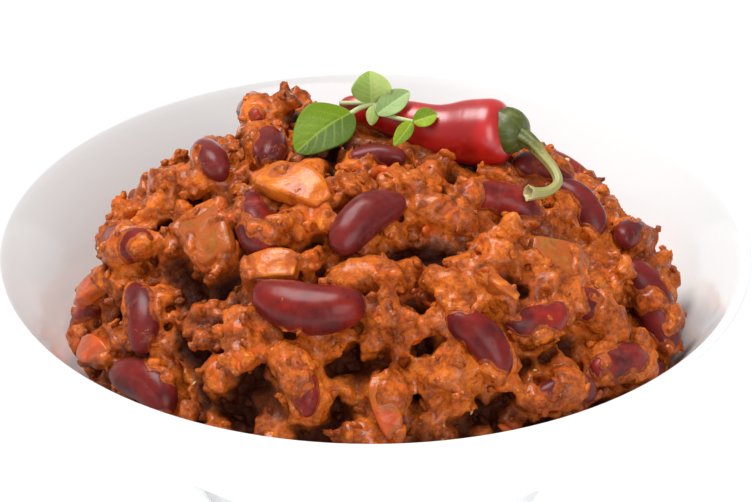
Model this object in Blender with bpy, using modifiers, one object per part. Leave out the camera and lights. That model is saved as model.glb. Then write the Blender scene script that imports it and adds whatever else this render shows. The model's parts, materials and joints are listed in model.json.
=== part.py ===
"""A heaped portion of chili con carne in a round white porcelain bowl.

The mound of minced meat and sauce fills the bowl and stands above its rim. Kidney beans and pieces of
sweet pepper, onion and tomato are set in its surface, and a red chilli and a sprig of oregano lie on top.
Metres, +Z up, with the origin under the middle of the foot, on the surface that the bowl stands on.
+X is the eater's right and +Y points away from the eater.
"""

import math
from typing import NamedTuple

import bmesh
import bpy
from mathutils import Matrix, Vector, noise

MM = 0.001
UP = Vector((0, 0, 1))

# Every piece keeps this gap to its neighbours, because meshes that touch would overlap a little.
GAP = 0.35 * MM
MERGE = 0.01 * MM

# Bowl
RIM_RADIUS = 70 * MM
RIM_HEIGHT = 50 * MM
LIP_RADIUS = 1.1 * MM
FLOOR_HEIGHT = 6 * MM
WALL_AT_LIP = 2.2 * MM
WALL_AT_FOOT = 4.0 * MM
WALL_SLOPE = math.radians(57.5)
WALL_STRAIGHT = 26 * MM
FLOOR_REACH = 40 * MM
FOOT_RADIUS = 34 * MM
FOOT_WIDTH = 3.5 * MM
FOOT_RECESS = 2 * MM
SIDES = 48
WALL_STEPS = 6

# Mound: (across / reach) ** SIDE_POWER + (up / height) ** TOP_POWER = 1, measured from the hub
HUB = Vector((1.5 * MM, -6.5 * MM, 31 * MM))
REACH = 57.5 * MM
HEIGHT = 41.5 * MM
SIDE_POWER = 2.1
TOP_POWER = 1.4
MOUND_RINGS = 11
CLOD_SIZE = 11 * MM
CLOD_HEIGHT = 2.2 * MM


class Knoll(NamedTuple):
    """A broad rise in the mound's surface. Angles are degrees round the hub and above its level."""

    azimuth: float
    elevation: float
    height: float
    width: float


KNOLLS = (
    Knoll(136, 60, 7.0 * MM, 10 * MM),
    Knoll(176, 30, 5.5 * MM, 14 * MM),
    Knoll(4, 22, 6.0 * MM, 8 * MM),
    Knoll(-60, 30, 2.5 * MM, 13 * MM),
    Knoll(-112, 24, 2.5 * MM, 12 * MM),
    Knoll(60, 34, 3.0 * MM, 14 * MM),
)


class Seat(NamedTuple):
    """Where a piece lies in the mound's surface.

    heading turns its long axis from level towards uphill, roll turns it about that axis, and lift
    raises its middle out of the surface.
    """

    azimuth: float
    elevation: float
    heading: float
    roll: float
    length: float
    lift: float = 0.0


BEANS = (
    Seat(-108, 37.0, 3, 180, 20.5 * MM, 1.5 * MM),
    Seat(-96, 59, 50, 20, 17.0 * MM, 1.0 * MM),
    Seat(146, 55, 50, 0, 13.5 * MM, 0.6 * MM),
    Seat(173, 62, 25, 0, 15.5 * MM, 0.2 * MM),
    Seat(173, 49, 25, 90, 15.5 * MM, 0.8 * MM),
    Seat(-139, 51, -25, 200, 16.0 * MM, 0.2 * MM),
    Seat(-170, 28, 28, 180, 16.5 * MM, 0.4 * MM),
    Seat(-100, 86.5, 8, 0, 10.5 * MM, -1.4 * MM),
    Seat(-29.5, 56, -58, 10, 15.5 * MM, -0.2 * MM),
    Seat(6, 49, -80, 30, 14.0 * MM, 0.0),
    Seat(-6, 40, -125, 50, 13.5 * MM, 0.8 * MM),
    Seat(-59, 60.5, -35, 0, 12.5 * MM, -0.8 * MM),
    Seat(-4, 27, -40, 0, 13.0 * MM, 0.2 * MM),
    Seat(-151, 22, -30, 0, 15.0 * MM, 0.4 * MM),
    Seat(-177, 8, 75, 0, 12.0 * MM, -1.6 * MM),
    Seat(-142.5, 12, 4, 0, 18.0 * MM, -1.6 * MM),
    Seat(-94, 45.5, 8, 0, 12.5 * MM, -0.4 * MM),
    Seat(-107, 23, -52, 20, 13.5 * MM, -0.4 * MM),
    Seat(-68, 29, -62, 30, 15.0 * MM, 0.8 * MM),
    Seat(-70, 40.5, -52, 0, 11.5 * MM, -0.6 * MM),
    Seat(-52, 30, -10, 180, 13.5 * MM, -0.4 * MM),
    Seat(-35, 26, -55, 0, 14.5 * MM, 0.2 * MM),
    Seat(-15, 17, -115, 0, 18.5 * MM, 0.4 * MM),
    Seat(-36, 15, -20, 0, 15.5 * MM, 0.0),
    Seat(-52, 16, -15, 40, 13.5 * MM, 0.0),
    Seat(-25, 8.5, -15, 0, 12.0 * MM, -2.8 * MM),
    Seat(38, 29, 20, 0, 16.5 * MM, 0.6 * MM),
    Seat(54, 13, -60, 20, 17.0 * MM, 0.2 * MM),
    Seat(64, 34, 70, 0, 15.5 * MM, 0.4 * MM),
    Seat(79, 26, 15, 180, 18.0 * MM, 0.8 * MM),
    Seat(101, 10, 40, 0, 16.0 * MM, -0.4 * MM),
    Seat(118, 32, -35, 30, 16.0 * MM, 0.6 * MM),
    Seat(133, 22, 65, 0, 17.5 * MM, 0.4 * MM),
    Seat(155, 17, -20, 200, 15.5 * MM, 0.0),
)
BEAN_WIDTH = 0.51
BEAN_THICKNESS = 0.43
BEAN_BLUNTNESS = 2.5
BEAN_BEND = 0.09
BEAN_HILUM = 0.10
BEAN_SIDES = 8
BEAN_RINGS = 6


class Cut(NamedTuple):
    """A piece of cut vegetable: its seat, then its size across and through, bend and pointedness."""

    name: str
    seat: Seat
    width: float
    thickness: float
    bend: float
    taper: float


CUTS = (
    Cut("pepper_piece_1", Seat(-141, 63, 2, 0, 16.0 * MM, 1.4 * MM), 7.0 * MM, 3.2 * MM, 1.8 * MM, 0.55),
    Cut("pepper_piece_2", Seat(-60, 38, -66, 80, 7.5 * MM, 1.2 * MM), 5.0 * MM, 2.0 * MM, 0.6 * MM, 0.3),
    Cut("pepper_piece_3", Seat(-123, 43.5, 12, 0, 9.0 * MM, 0.9 * MM), 5.5 * MM, 3.0 * MM, 0.6 * MM, 0.35),
    Cut("onion_piece_1", Seat(-153, 43, -20, 0, 13.0 * MM, 0.3 * MM), 8.0 * MM, 2.6 * MM, 1.6 * MM, 0.3),
    Cut("onion_piece_2", Seat(-34, 38, -62, 0, 11.0 * MM, 0.7 * MM), 7.0 * MM, 2.4 * MM, 1.0 * MM, 0.4),
    Cut("tomato_piece_1", Seat(-171, 16, 48, 0, 11.5 * MM, 0.9 * MM), 5.0 * MM, 2.6 * MM, 1.0 * MM, 0.6),
    Cut("tomato_piece_2", Seat(-162, 9, 20, 0, 11.5 * MM, -0.8 * MM), 5.0 * MM, 2.8 * MM, 1.0 * MM, 0.7),
    Cut("tomato_piece_3", Seat(-89, 19.5, -80, 0, 10.0 * MM, 0.8 * MM), 4.2 * MM, 2.6 * MM, 0.6 * MM, 0.6),
    Cut("pepper_piece_4", Seat(95, 41, 35, 0, 13.0 * MM, 1.0 * MM), 6.5 * MM, 3.0 * MM, 1.2 * MM, 0.45),
    Cut("tomato_piece_4", Seat(80, 12, 40, 0, 11.5 * MM, 0.6 * MM), 5.4 * MM, 2.6 * MM, 1.0 * MM, 0.5),
)
CUT_STEPS = 6

# Red chilli: its axis curves from the shoulder under the calyx, by way of the bend, to the tip.
POD_SHOULDER = Vector((24.4, -4.8, 74.1)) * MM
POD_BEND = Vector((15.0, 3.0, 72.6)) * MM
POD_TIP = Vector((-5.8, 5.5, 74.3)) * MM
POD_RADIUS = 6.2 * MM
POD_STEPS = 11
CALYX_RADIUS = 4.1 * MM
CALYX_HEIGHT = 3.4 * MM
STALK_PATH = (
    (28.6, -8.8, 73.5),
    (30.0, -10.3, 72.4),
    (31.9, -12.5, 70.9),
    (32.8, -14.6, 69.8),
    (32.4, -16.3, 69.2),
    (30.7, -18.0, 68.9),
    (28.7, -19.5, 69.4),
    (27.3, -20.3, 69.9),
)
STALK_RADII = (1.5, 1.2, 1.05, 1.0, 1.0, 1.05, 1.2, 1.5)


class Leaf(NamedTuple):
    """An oregano leaf, from its base to its tip, with the side that it faces."""

    base: tuple
    tip: tuple
    facing: tuple
    width: float


LEAVES = (
    Leaf((-3.6, -0.9, 75.7), (-13.4, -8.4, 71.9), (-0.05, -0.43, 0.90), 11.0 * MM),
    Leaf((0.0, 1.1, 76.7), (-0.3, 2.4, 82.4), (0.1, -0.97, 0.2), 7.4 * MM),
    Leaf((1.0, -1.3, 75.6), (6.8, 1.0, 79.0), (-0.25, -0.72, 0.65), 4.6 * MM),
    Leaf((7.5, -4.2, 75.6), (11.7, -3.9, 76.9), (-0.1, -0.7, 0.7), 3.8 * MM),
    Leaf((7.2, -4.2, 75.6), (4.0, -8.1, 72.9), (0.2, -0.7, 0.7), 3.0 * MM),
    Leaf((0.4, 0.4, 76.5), (-0.1, -1.6, 73.6), (0.1, -0.8, 0.6), 2.6 * MM),
)
SPRIG_STEM = ((-5.7, 3.2, 75.6), (0.1, 1.0, 76.5), (1.4, -0.9, 75.8), (4.6, -2.4, 75.4), (7.4, -4.2, 75.6))
PETIOLE = ((0.1, 1.0, 76.5), (-3.8, -1.0, 75.6))
SPRIG_STEM_RADIUS = 0.55 * MM
LEAF_THICKNESS = 0.6 * MM
LEAF_STEPS = 5
LEAF_CUP = 0.10


def clear_scene():
    """Removes whatever the scene holds."""
    for obj in list(bpy.data.objects):
        bpy.data.objects.remove(obj, do_unlink=True)


def collection(name):
    """A new collection in the scene."""
    made = bpy.data.collections.new(name)
    bpy.context.scene.collection.children.link(made)
    return made


def material(name, colour, roughness):
    """A plain non-metal finish."""
    made = bpy.data.materials.new(name)
    made.use_nodes = True
    shader = made.node_tree.nodes["Principled BSDF"]
    shader.inputs["Base Color"].default_value = (*colour, 1)
    shader.inputs["Roughness"].default_value = roughness
    return made


def add_object(name, data, home, finish=None):
    """A new object for this mesh or curve, in a collection and with a finish."""
    obj = bpy.data.objects.new(name, data)
    home.objects.link(obj)
    if finish is not None:
        data.materials.append(finish)
    return obj


def baked(obj):
    """The object with its modifiers applied, as a plain mesh in place of the old object."""
    bpy.context.view_layer.update()
    graph = bpy.context.evaluated_depsgraph_get()
    mesh = bpy.data.meshes.new_from_object(obj.evaluated_get(graph))
    mesh.transform(obj.matrix_world)
    name, home = obj.name, obj.users_collection[0]
    bpy.data.objects.remove(obj, do_unlink=True)
    made = bpy.data.objects.new(name, mesh)
    home.objects.link(made)
    return made


def edit_mesh(obj, change):
    """Runs change on the object's mesh as a bmesh."""
    mesh = bmesh.new()
    mesh.from_mesh(obj.data)
    change(mesh)
    mesh.to_mesh(obj.data)
    mesh.free()
    obj.data.update()


def turned(name, profile, home, finish=None):
    """A shape turned round +Z from (radius, height) points that run down its outer side."""
    mesh = bpy.data.meshes.new(name)
    points = [(radius, 0, height) for radius, height in profile]
    mesh.from_pydata(points, [(i, i + 1) for i in range(len(points) - 1)], [])
    obj = add_object(name, mesh, home, finish)
    screw = obj.modifiers.new("Turn", "SCREW")
    screw.steps = screw.render_steps = SIDES
    screw.use_merge_vertices = True
    screw.merge_threshold = MERGE
    screw.use_smooth_shade = True
    return obj


def bezier(points, share):
    """The point at this share of the way along a cubic curve through four (radius, height) points."""
    weights = ((1 - share) ** 3, 3 * (1 - share) ** 2 * share, 3 * (1 - share) * share**2, share**3)
    return tuple(sum(w * p[axis] for w, p in zip(weights, points)) for axis in range(2))


def wall_profile(depth_of):
    """Points along the bowl's inside from the middle of the floor to the lip, moved outwards by depth_of(share)."""
    lip_centre = (RIM_RADIUS - LIP_RADIUS, RIM_HEIGHT - LIP_RADIUS)
    top = (lip_centre[0] - LIP_RADIUS * math.sin(WALL_SLOPE), lip_centre[1] + LIP_RADIUS * math.cos(WALL_SLOPE))
    knee = (top[0] - WALL_STRAIGHT * math.cos(WALL_SLOPE), top[1] - WALL_STRAIGHT * math.sin(WALL_SLOPE))
    curve = ((0, FLOOR_HEIGHT), (FLOOR_REACH, FLOOR_HEIGHT), knee, top)
    points = []
    for step in range(WALL_STEPS + 1):
        share = step / WALL_STEPS
        radius, height = bezier(curve, share)
        ahead, behind = bezier(curve, min(share + 0.01, 1)), bezier(curve, max(share - 0.01, 0))
        run, rise = ahead[0] - behind[0], ahead[1] - behind[1]
        length = math.hypot(run, rise)
        depth = depth_of(share)
        points.append((max(radius + depth * rise / length, 0), height - depth * run / length))
    points[0] = (0, points[0][1])
    return points


def wall_thickness(share):
    """The bowl's wall thickness, from the floor's middle at 0 to the lip at 1."""
    return WALL_AT_FOOT + (WALL_AT_LIP - WALL_AT_FOOT) * share


def build_bowl(home, finish):
    """The bowl: a turned porcelain wall with a round lip and a foot ring."""
    inside = wall_profile(lambda share: 0)
    outside = [p for p in reversed(wall_profile(wall_thickness)) if p[0] > FOOT_RADIUS + 1 * MM]
    lip_steps = 4
    lip = []
    for step in range(1, lip_steps):
        angle = math.pi / 2 + WALL_SLOPE - math.pi * step / lip_steps
        lip.append(
            (
                RIM_RADIUS - LIP_RADIUS + LIP_RADIUS * math.cos(angle),
                RIM_HEIGHT - LIP_RADIUS + LIP_RADIUS * math.sin(angle),
            )
        )
    foot = [
        (FOOT_RADIUS, FOOT_RECESS),
        (FOOT_RADIUS - 0.5 * MM, 0),
        (FOOT_RADIUS - FOOT_WIDTH, 0),
        (FOOT_RADIUS - FOOT_WIDTH - 0.5 * MM, FOOT_RECESS),
        (0, FOOT_RECESS),
    ]
    return turned("bowl", inside + lip + outside + foot, home, finish)


def build_filling(cutters):
    """A guide solid: all the room inside the bowl, and the air above it."""
    inside = wall_profile(lambda share: -GAP)
    high = 2 * RIM_HEIGHT
    profile = [(0, high), (inside[-1][0], high), *reversed(inside)]
    return baked(turned("filling", profile, cutters))


def dome_distance(elevation):
    """How far the smooth mound reaches from its hub at this elevation in radians."""
    near, far = 0.0, REACH + HEIGHT
    for _ in range(40):
        middle = (near + far) / 2
        across = (middle * math.cos(elevation) / REACH) ** SIDE_POWER
        upward = (middle * math.sin(elevation) / HEIGHT) ** TOP_POWER
        if across + upward < 1:
            near = middle
        else:
            far = middle
    return near


def direction(azimuth, elevation):
    """The unit vector at these angles in degrees."""
    turn, rise = math.radians(azimuth), math.radians(elevation)
    return Vector((math.cos(turn) * math.cos(rise), math.sin(turn) * math.cos(rise), math.sin(rise)))


def dome_normal(point):
    """Which way the smooth mound faces at a point on it."""
    offset = point - HUB
    across = math.hypot(offset.x, offset.y)
    level = SIDE_POWER * (across / REACH) ** (SIDE_POWER - 1) / REACH
    upward = TOP_POWER * (max(offset.z, 0) / HEIGHT) ** (TOP_POWER - 1) / HEIGHT
    outward = Vector((offset.x, offset.y, 0)).normalized()
    return (outward * level + UP * upward).normalized()


def knoll_height(point):
    """How far the knolls raise the smooth mound at this point."""
    total = 0.0
    for knoll in KNOLLS:
        way = direction(knoll.azimuth, knoll.elevation)
        peak = HUB + way * dome_distance(math.radians(knoll.elevation))
        total += knoll.height * math.exp(-(((point - peak).length / knoll.width) ** 2))
    return total


def clod_height(point):
    """Round clods of meat, from -1 in the creases between them to +1 on top."""
    near = noise.voronoi(point / CLOD_SIZE, distance_metric="DISTANCE")[0][0]
    return 1 - 2 * min(near, 1)


def surface(azimuth, elevation):
    """The point on the mound at these angles in degrees, knolls included, and the way it faces there."""
    point = HUB + direction(azimuth, elevation) * dome_distance(math.radians(elevation))
    normal = dome_normal(point)
    return point + normal * knoll_height(point), normal


def build_mound(home, cutters, finish):
    """The meat and sauce: a lumpy mound that fits the inside of the bowl."""
    profile = []
    for ring in range(MOUND_RINGS + 1):
        elevation = math.pi / 2 * (1 - ring / MOUND_RINGS)
        distance = dome_distance(elevation)
        profile.append((distance * math.cos(elevation), HUB.z + distance * math.sin(elevation)))
    profile[0] = (0, profile[0][1])
    profile += [(REACH, 0), (0, 0)]
    obj = baked(turned("chili_mound", profile, home))
    obj.data.materials.append(finish)

    def make_uneven(mesh):
        for vertex in mesh.verts:
            if vertex.co.z < MM:
                vertex.co += Vector((HUB.x, HUB.y, 0))
                continue
            point = vertex.co + Vector((HUB.x, HUB.y, 0))
            rise = knoll_height(point) + CLOD_HEIGHT * clod_height(point)
            vertex.co = point + dome_normal(point) * rise

    edit_mesh(obj, make_uneven)
    fit = obj.modifiers.new("Fit in the bowl", "BOOLEAN")
    fit.operation = "INTERSECT"
    fit.object = build_filling(cutters)
    return obj


def seat_matrix(seat):
    """The place of a piece: its x axis along its length and its z axis out of the mound."""
    point, normal = surface(seat.azimuth, seat.elevation)
    level = UP.cross(normal).normalized()
    uphill = normal.cross(level)
    turn = math.radians(seat.heading)
    along = level * math.cos(turn) + uphill * math.sin(turn)
    across = normal.cross(along)
    place = Matrix((along, across, normal)).transposed().to_4x4()
    place.translation = point + normal * seat.lift
    return place @ Matrix.Rotation(math.radians(seat.roll), 4, "X")


def shape_bean(co, length):
    """Moves a point of a unit ball, whose poles are on x, to a kidney bean that curls towards -y."""
    along = max(-1.0, min(1.0, co.x))
    ring = math.sqrt(max(1 - along * along, 1e-12))
    plump = math.sqrt(max(1 - abs(along) ** BEAN_BLUNTNESS, 0)) / ring
    across, through = co.y * plump, co.z * plump
    belly = max(-across, 0)
    dent = BEAN_HILUM * belly * math.exp(-((along / 0.4) ** 2))
    bend = BEAN_BEND * (0.35 - along * along)
    return Vector(
        (
            along * length / 2,
            (across * BEAN_WIDTH / 2 + (bend + dent * BEAN_WIDTH)) * length,
            through * BEAN_THICKNESS / 2 * length,
        )
    )


def build_bean(name, seat, home, finish):
    """A kidney bean lying in its seat."""
    mesh = bpy.data.meshes.new(name)
    ball = bmesh.new()
    poles_on_x = Matrix.Rotation(math.pi / 2, 4, "Y")
    bmesh.ops.create_uvsphere(ball, u_segments=BEAN_SIDES, v_segments=BEAN_RINGS, radius=1, matrix=poles_on_x)
    for vertex in ball.verts:
        vertex.co = shape_bean(vertex.co, seat.length)
    ball.to_mesh(mesh)
    ball.free()
    mesh.shade_smooth()
    obj = add_object(name, mesh, home, finish)
    obj.matrix_world = seat_matrix(seat)
    return obj


def build_cut(cut, home, finish):
    """A bent, tapering piece of cut vegetable."""
    mesh = bpy.data.meshes.new(cut.name)
    slab = bmesh.new()
    bmesh.ops.create_cube(slab, size=2)
    lengthways = [edge for edge in slab.edges if abs(edge.verts[0].co.x - edge.verts[1].co.x) > 1]
    bmesh.ops.subdivide_edges(slab, edges=lengthways, cuts=CUT_STEPS - 1, use_grid_fill=True)
    for vertex in slab.verts:
        along, across, through = vertex.co
        slimming = 1 - cut.taper * abs(along) ** 2.5
        vertex.co = (
            along * cut.seat.length / 2,
            across * cut.width / 2 * slimming + 0.1 * cut.width * math.sin(2 * along),
            through * cut.thickness / 2 * (1 - 0.3 * along**2) + cut.bend * (0.5 - along**2),
        )
    bmesh.ops.recalc_face_normals(slab, faces=slab.faces)
    slab.to_mesh(mesh)
    slab.free()
    obj = add_object(cut.name, mesh, home, finish)
    obj.matrix_world = seat_matrix(cut.seat)
    return obj


def tube(name, points, radii, home, finish, resolution=3):
    """A solid rod along points, with its own radius at each."""
    curve = bpy.data.curves.new(name, "CURVE")
    curve.dimensions = "3D"
    curve.bevel_depth = 1
    curve.bevel_resolution = resolution
    curve.use_fill_caps = True
    spline = curve.splines.new("POLY")
    spline.points.add(len(points) - 1)
    for knot, point, radius in zip(spline.points, points, radii):
        knot.co = (*point, 1)
        knot.radius = radius
    rod = baked(add_object(name, curve, home))

    def weld(mesh):
        bmesh.ops.remove_doubles(mesh, verts=mesh.verts, dist=MERGE)
        bmesh.ops.recalc_face_normals(mesh, faces=mesh.faces)

    edit_mesh(rod, weld)
    rod.data.materials.append(finish)
    rod.data.shade_smooth()
    return rod


def pod_width(share):
    """The chilli's radius as a share of its widest, from its shoulder at 0 to its tip at 1."""
    shoulder = 1 - 0.3 * (1 - min(share / 0.1, 1)) ** 2
    body = 1 - 0.85 * max(share - 0.1, 0)
    tip = math.sqrt(max(1 - (max(share - 0.88, 0) / 0.125) ** 2, 0))
    return shoulder * body * tip


def build_pod(home, finish):
    """The red chilli's pod."""
    points, radii = [], []
    for step in range(POD_STEPS + 1):
        share = (step / POD_STEPS) ** 1.3
        points.append(POD_SHOULDER.lerp(POD_BEND, share).lerp(POD_BEND.lerp(POD_TIP, share), share))
        radii.append(POD_RADIUS * pod_width(share))
    return tube("chilli_pod", points, radii, home, finish, resolution=4)


def unite(base, others):
    """Joins the other solids to base with Boolean unions and returns base as a plain mesh."""
    finishes = list(base.data.materials)
    for other in others:
        join = base.modifiers.new("Join", "BOOLEAN")
        join.operation = "UNION"
        join.object = other
    name = base.name
    base = baked(base)
    base.name = name
    base.data.materials.clear()
    for finish in finishes:
        base.data.materials.append(finish)
    for other in others:
        bpy.data.objects.remove(other, do_unlink=True)
    return base


def build_stalk(home, finish):
    """The chilli's green calyx and its hooked stalk, one piece."""
    outward = (POD_SHOULDER - POD_BEND).normalized()
    seat = POD_SHOULDER + outward * 1.2 * GAP
    cap_points, cap_radii = [], []
    steps = 5
    for step in range(steps + 1):
        share = step / steps
        cap_points.append(seat + outward * CALYX_HEIGHT * share)
        cap_radii.append(CALYX_RADIUS * math.sqrt(1 - (0.92 * share) ** 2))
    calyx = tube("chilli_stalk", cap_points, cap_radii, home, finish)
    start = seat + outward * CALYX_HEIGHT * 0.5
    path = [start] + [Vector(point) * MM for point in STALK_PATH]
    radii = [1.9 * MM] + [radius * MM for radius in STALK_RADII]
    rod = tube("stalk_rod", path, radii, home, finish, resolution=1)
    return unite(calyx, [rod])


def leaf_outline(share):
    """Half the leaf's width at a share of its length, as a share of the widest."""
    return math.sin(math.pi * share**0.9) ** 0.65


def build_leaf(name, leaf, home, finish):
    """One cupped leaf blade with its thickness."""
    base, tip = Vector(leaf.base) * MM, Vector(leaf.tip) * MM
    along = (tip - base).normalized()
    facing = Vector(leaf.facing)
    facing = (facing - along * facing.dot(along)).normalized()
    across = facing.cross(along)
    blade = bmesh.new()
    rows = []
    for step in range(LEAF_STEPS + 1):
        share = min(max(step / LEAF_STEPS, 0.03), 0.98)
        half = leaf.width / 2 * leaf_outline(share)
        middle = base.lerp(tip, step / LEAF_STEPS)
        row = []
        for side in (-1, 0, 1):
            cup = LEAF_CUP * leaf.width * side * side * math.sin(math.pi * share)
            row.append(blade.verts.new(middle + across * half * side + facing * cup))
        rows.append(row)
    for low, high in zip(rows, rows[1:]):
        for side in range(2):
            blade.faces.new((low[side], low[side + 1], high[side + 1], high[side]))
    mesh = bpy.data.meshes.new(name)
    blade.to_mesh(mesh)
    blade.free()
    obj = add_object(name, mesh, home, finish)
    solidify = obj.modifiers.new("Thickness", "SOLIDIFY")
    solidify.thickness = LEAF_THICKNESS
    solidify.offset = 0
    leaf_solid = baked(obj)
    edit_mesh(leaf_solid, lambda mesh: bmesh.ops.recalc_face_normals(mesh, faces=mesh.faces))
    leaf_solid.data.materials.append(finish)
    return leaf_solid


def build_sprig(home, finish):
    """The oregano sprig: a stem and its leaves, one piece."""
    points = [Vector(point) * MM for point in SPRIG_STEM]
    radii = [SPRIG_STEM_RADIUS] * len(points)
    stem = tube("oregano_sprig", points, radii, home, finish, resolution=1)
    petiole_points = [Vector(point) * MM for point in PETIOLE]
    petiole = tube("petiole", petiole_points, [SPRIG_STEM_RADIUS] * 2, home, finish, resolution=1)
    leaves = [build_leaf(f"leaf_{i}", leaf, home, finish) for i, leaf in enumerate(LEAVES, 1)]
    return unite(stem, [petiole, *leaves])


def cut_clear(mound, pieces, cutters):
    """Takes room for the pieces, and the gap round them, out of the mound."""
    for piece in pieces:
        cutter = piece.copy()
        cutter.name = f"room_for_{piece.name}"
        cutters.objects.link(cutter)
        grow = cutter.modifiers.new("Gap", "DISPLACE")
        grow.strength = GAP
        grow.mid_level = 0
        cut = mound.modifiers.new(f"Room for {piece.name}", "BOOLEAN")
        cut.operation = "DIFFERENCE"
        cut.object = cutter
    for cutter in cutters.objects:
        cutter.hide_render = True
        cutter.display_type = "WIRE"


def main():
    """Builds the bowl, the mound and everything that lies in it."""
    clear_scene()
    home = collection("chili con carne")
    cutters = collection("cutters")
    porcelain = material("white porcelain", (0.86, 0.86, 0.84), 0.15)
    sauce = material("meat in tomato sauce", (0.42, 0.12, 0.03), 0.4)
    bean_skin = material("kidney bean skin", (0.13, 0.02, 0.02), 0.25)
    pod_skin = material("chilli skin", (0.55, 0.02, 0.02), 0.2)
    stalk_green = material("chilli stalk", (0.20, 0.28, 0.07), 0.5)
    leaf_green = material("oregano leaf", (0.18, 0.38, 0.06), 0.5)
    flesh = {
        "pepper": material("yellow pepper", (0.85, 0.35, 0.04), 0.3),
        "onion": material("stewed onion", (0.50, 0.28, 0.08), 0.3),
        "tomato": material("tomato flesh", (0.62, 0.12, 0.03), 0.3),
    }

    build_bowl(home, porcelain)
    mound = build_mound(home, cutters, sauce)
    pieces = [build_bean(f"kidney_bean_{i:02d}", seat, home, bean_skin) for i, seat in enumerate(BEANS, 1)]
    pieces += [build_cut(cut, home, flesh[cut.name.split("_")[0]]) for cut in CUTS]
    pieces += [build_pod(home, pod_skin), build_stalk(home, stalk_green), build_sprig(home, leaf_green)]
    cut_clear(mound, pieces, cutters)


main()
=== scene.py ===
"""A heaped portion of chili con carne in a round white porcelain bowl.

The bowl is turned from its profile. The heap is a core with clods and crumbs of minced meat scattered over
it by Geometry Nodes and coated in sauce. Beans, vegetables, a red chilli and an oregano sprig lie in and on it.
Metres, +Z up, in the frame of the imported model.
"""

import json
import logging
import math
import random
from abc import ABC, abstractmethod
from collections.abc import Callable, Iterable, Sequence
from dataclasses import dataclass
from enum import Enum

import bmesh
import bpy
import numpy as np
from mathutils import Matrix, Vector, noise
from mathutils.bvhtree import BVHTree

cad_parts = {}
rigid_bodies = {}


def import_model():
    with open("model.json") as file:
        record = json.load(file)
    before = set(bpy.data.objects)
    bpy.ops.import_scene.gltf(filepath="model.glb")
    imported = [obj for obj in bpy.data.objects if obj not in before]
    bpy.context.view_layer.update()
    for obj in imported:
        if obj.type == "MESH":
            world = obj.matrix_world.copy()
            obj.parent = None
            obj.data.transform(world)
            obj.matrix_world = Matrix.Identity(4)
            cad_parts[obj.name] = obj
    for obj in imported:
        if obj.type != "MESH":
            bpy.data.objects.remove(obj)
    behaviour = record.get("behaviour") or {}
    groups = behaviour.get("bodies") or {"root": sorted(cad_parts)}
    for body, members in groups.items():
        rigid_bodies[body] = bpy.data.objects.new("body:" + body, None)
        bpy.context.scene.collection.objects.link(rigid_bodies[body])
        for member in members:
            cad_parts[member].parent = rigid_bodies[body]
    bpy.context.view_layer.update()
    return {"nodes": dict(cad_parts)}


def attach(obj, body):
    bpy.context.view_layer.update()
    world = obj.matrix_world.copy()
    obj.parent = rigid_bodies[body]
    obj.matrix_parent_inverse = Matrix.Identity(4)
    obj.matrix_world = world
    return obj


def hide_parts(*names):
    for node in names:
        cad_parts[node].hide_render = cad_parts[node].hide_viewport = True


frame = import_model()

log = logging.getLogger("chili_con_carne")

MM = 0.001
UP = Vector((0, 0, 1))
ROOT = "root"
WELD = 0.005 * MM

Colour = tuple[float, float, float]
Point = tuple[float, float, float]


# ---------------------------------------------------------------- shader graphs


class Sock:
    """A shader value that takes part in Python expressions."""

    def __init__(self, graph: "Graph", socket: bpy.types.NodeSocket) -> None:
        """Wraps a node's output.

        Args:
            graph: The graph that the node belongs to.
            socket: The output to wrap.
        """
        self.graph = graph
        self.socket = socket

    def _math(self, operation: str, *values: "Sock | float") -> "Sock":
        """Adds a Math node.

        Args:
            operation: The node's operation.
            values: What its inputs take, in order.

        Returns:
            The node's result.
        """
        made = self.graph.node("ShaderNodeMath", {"operation": operation}, dict(enumerate(values)))
        return Sock(self.graph, made.outputs[0])

    def __add__(self, other: "Sock | float") -> "Sock":
        """The sum."""
        return self._math("ADD", self, other)

    def __radd__(self, other: float) -> "Sock":
        """The sum."""
        return self._math("ADD", other, self)

    def __sub__(self, other: "Sock | float") -> "Sock":
        """The difference."""
        return self._math("SUBTRACT", self, other)

    def __rsub__(self, other: float) -> "Sock":
        """The difference from a number."""
        return self._math("SUBTRACT", other, self)

    def __mul__(self, other: "Sock | float") -> "Sock":
        """The product."""
        return self._math("MULTIPLY", self, other)

    def __rmul__(self, other: float) -> "Sock":
        """The product."""
        return self._math("MULTIPLY", other, self)

    def smooth(self, low: float, high: float) -> "Sock":
        """Rises smoothly from 0 at low to 1 at high.

        Args:
            low: Where the rise starts.
            high: Where it ends. It may be below low, for a fall.

        Returns:
            The eased value, from 0 to 1.
        """
        if low > high:
            return 1 - self.smooth(high, low)
        settings = {"interpolation_type": "SMOOTHSTEP"}
        made = self.graph.node("ShaderNodeMapRange", settings, {"Value": self, "From Min": low, "From Max": high})
        return Sock(self.graph, made.outputs[0])


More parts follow.
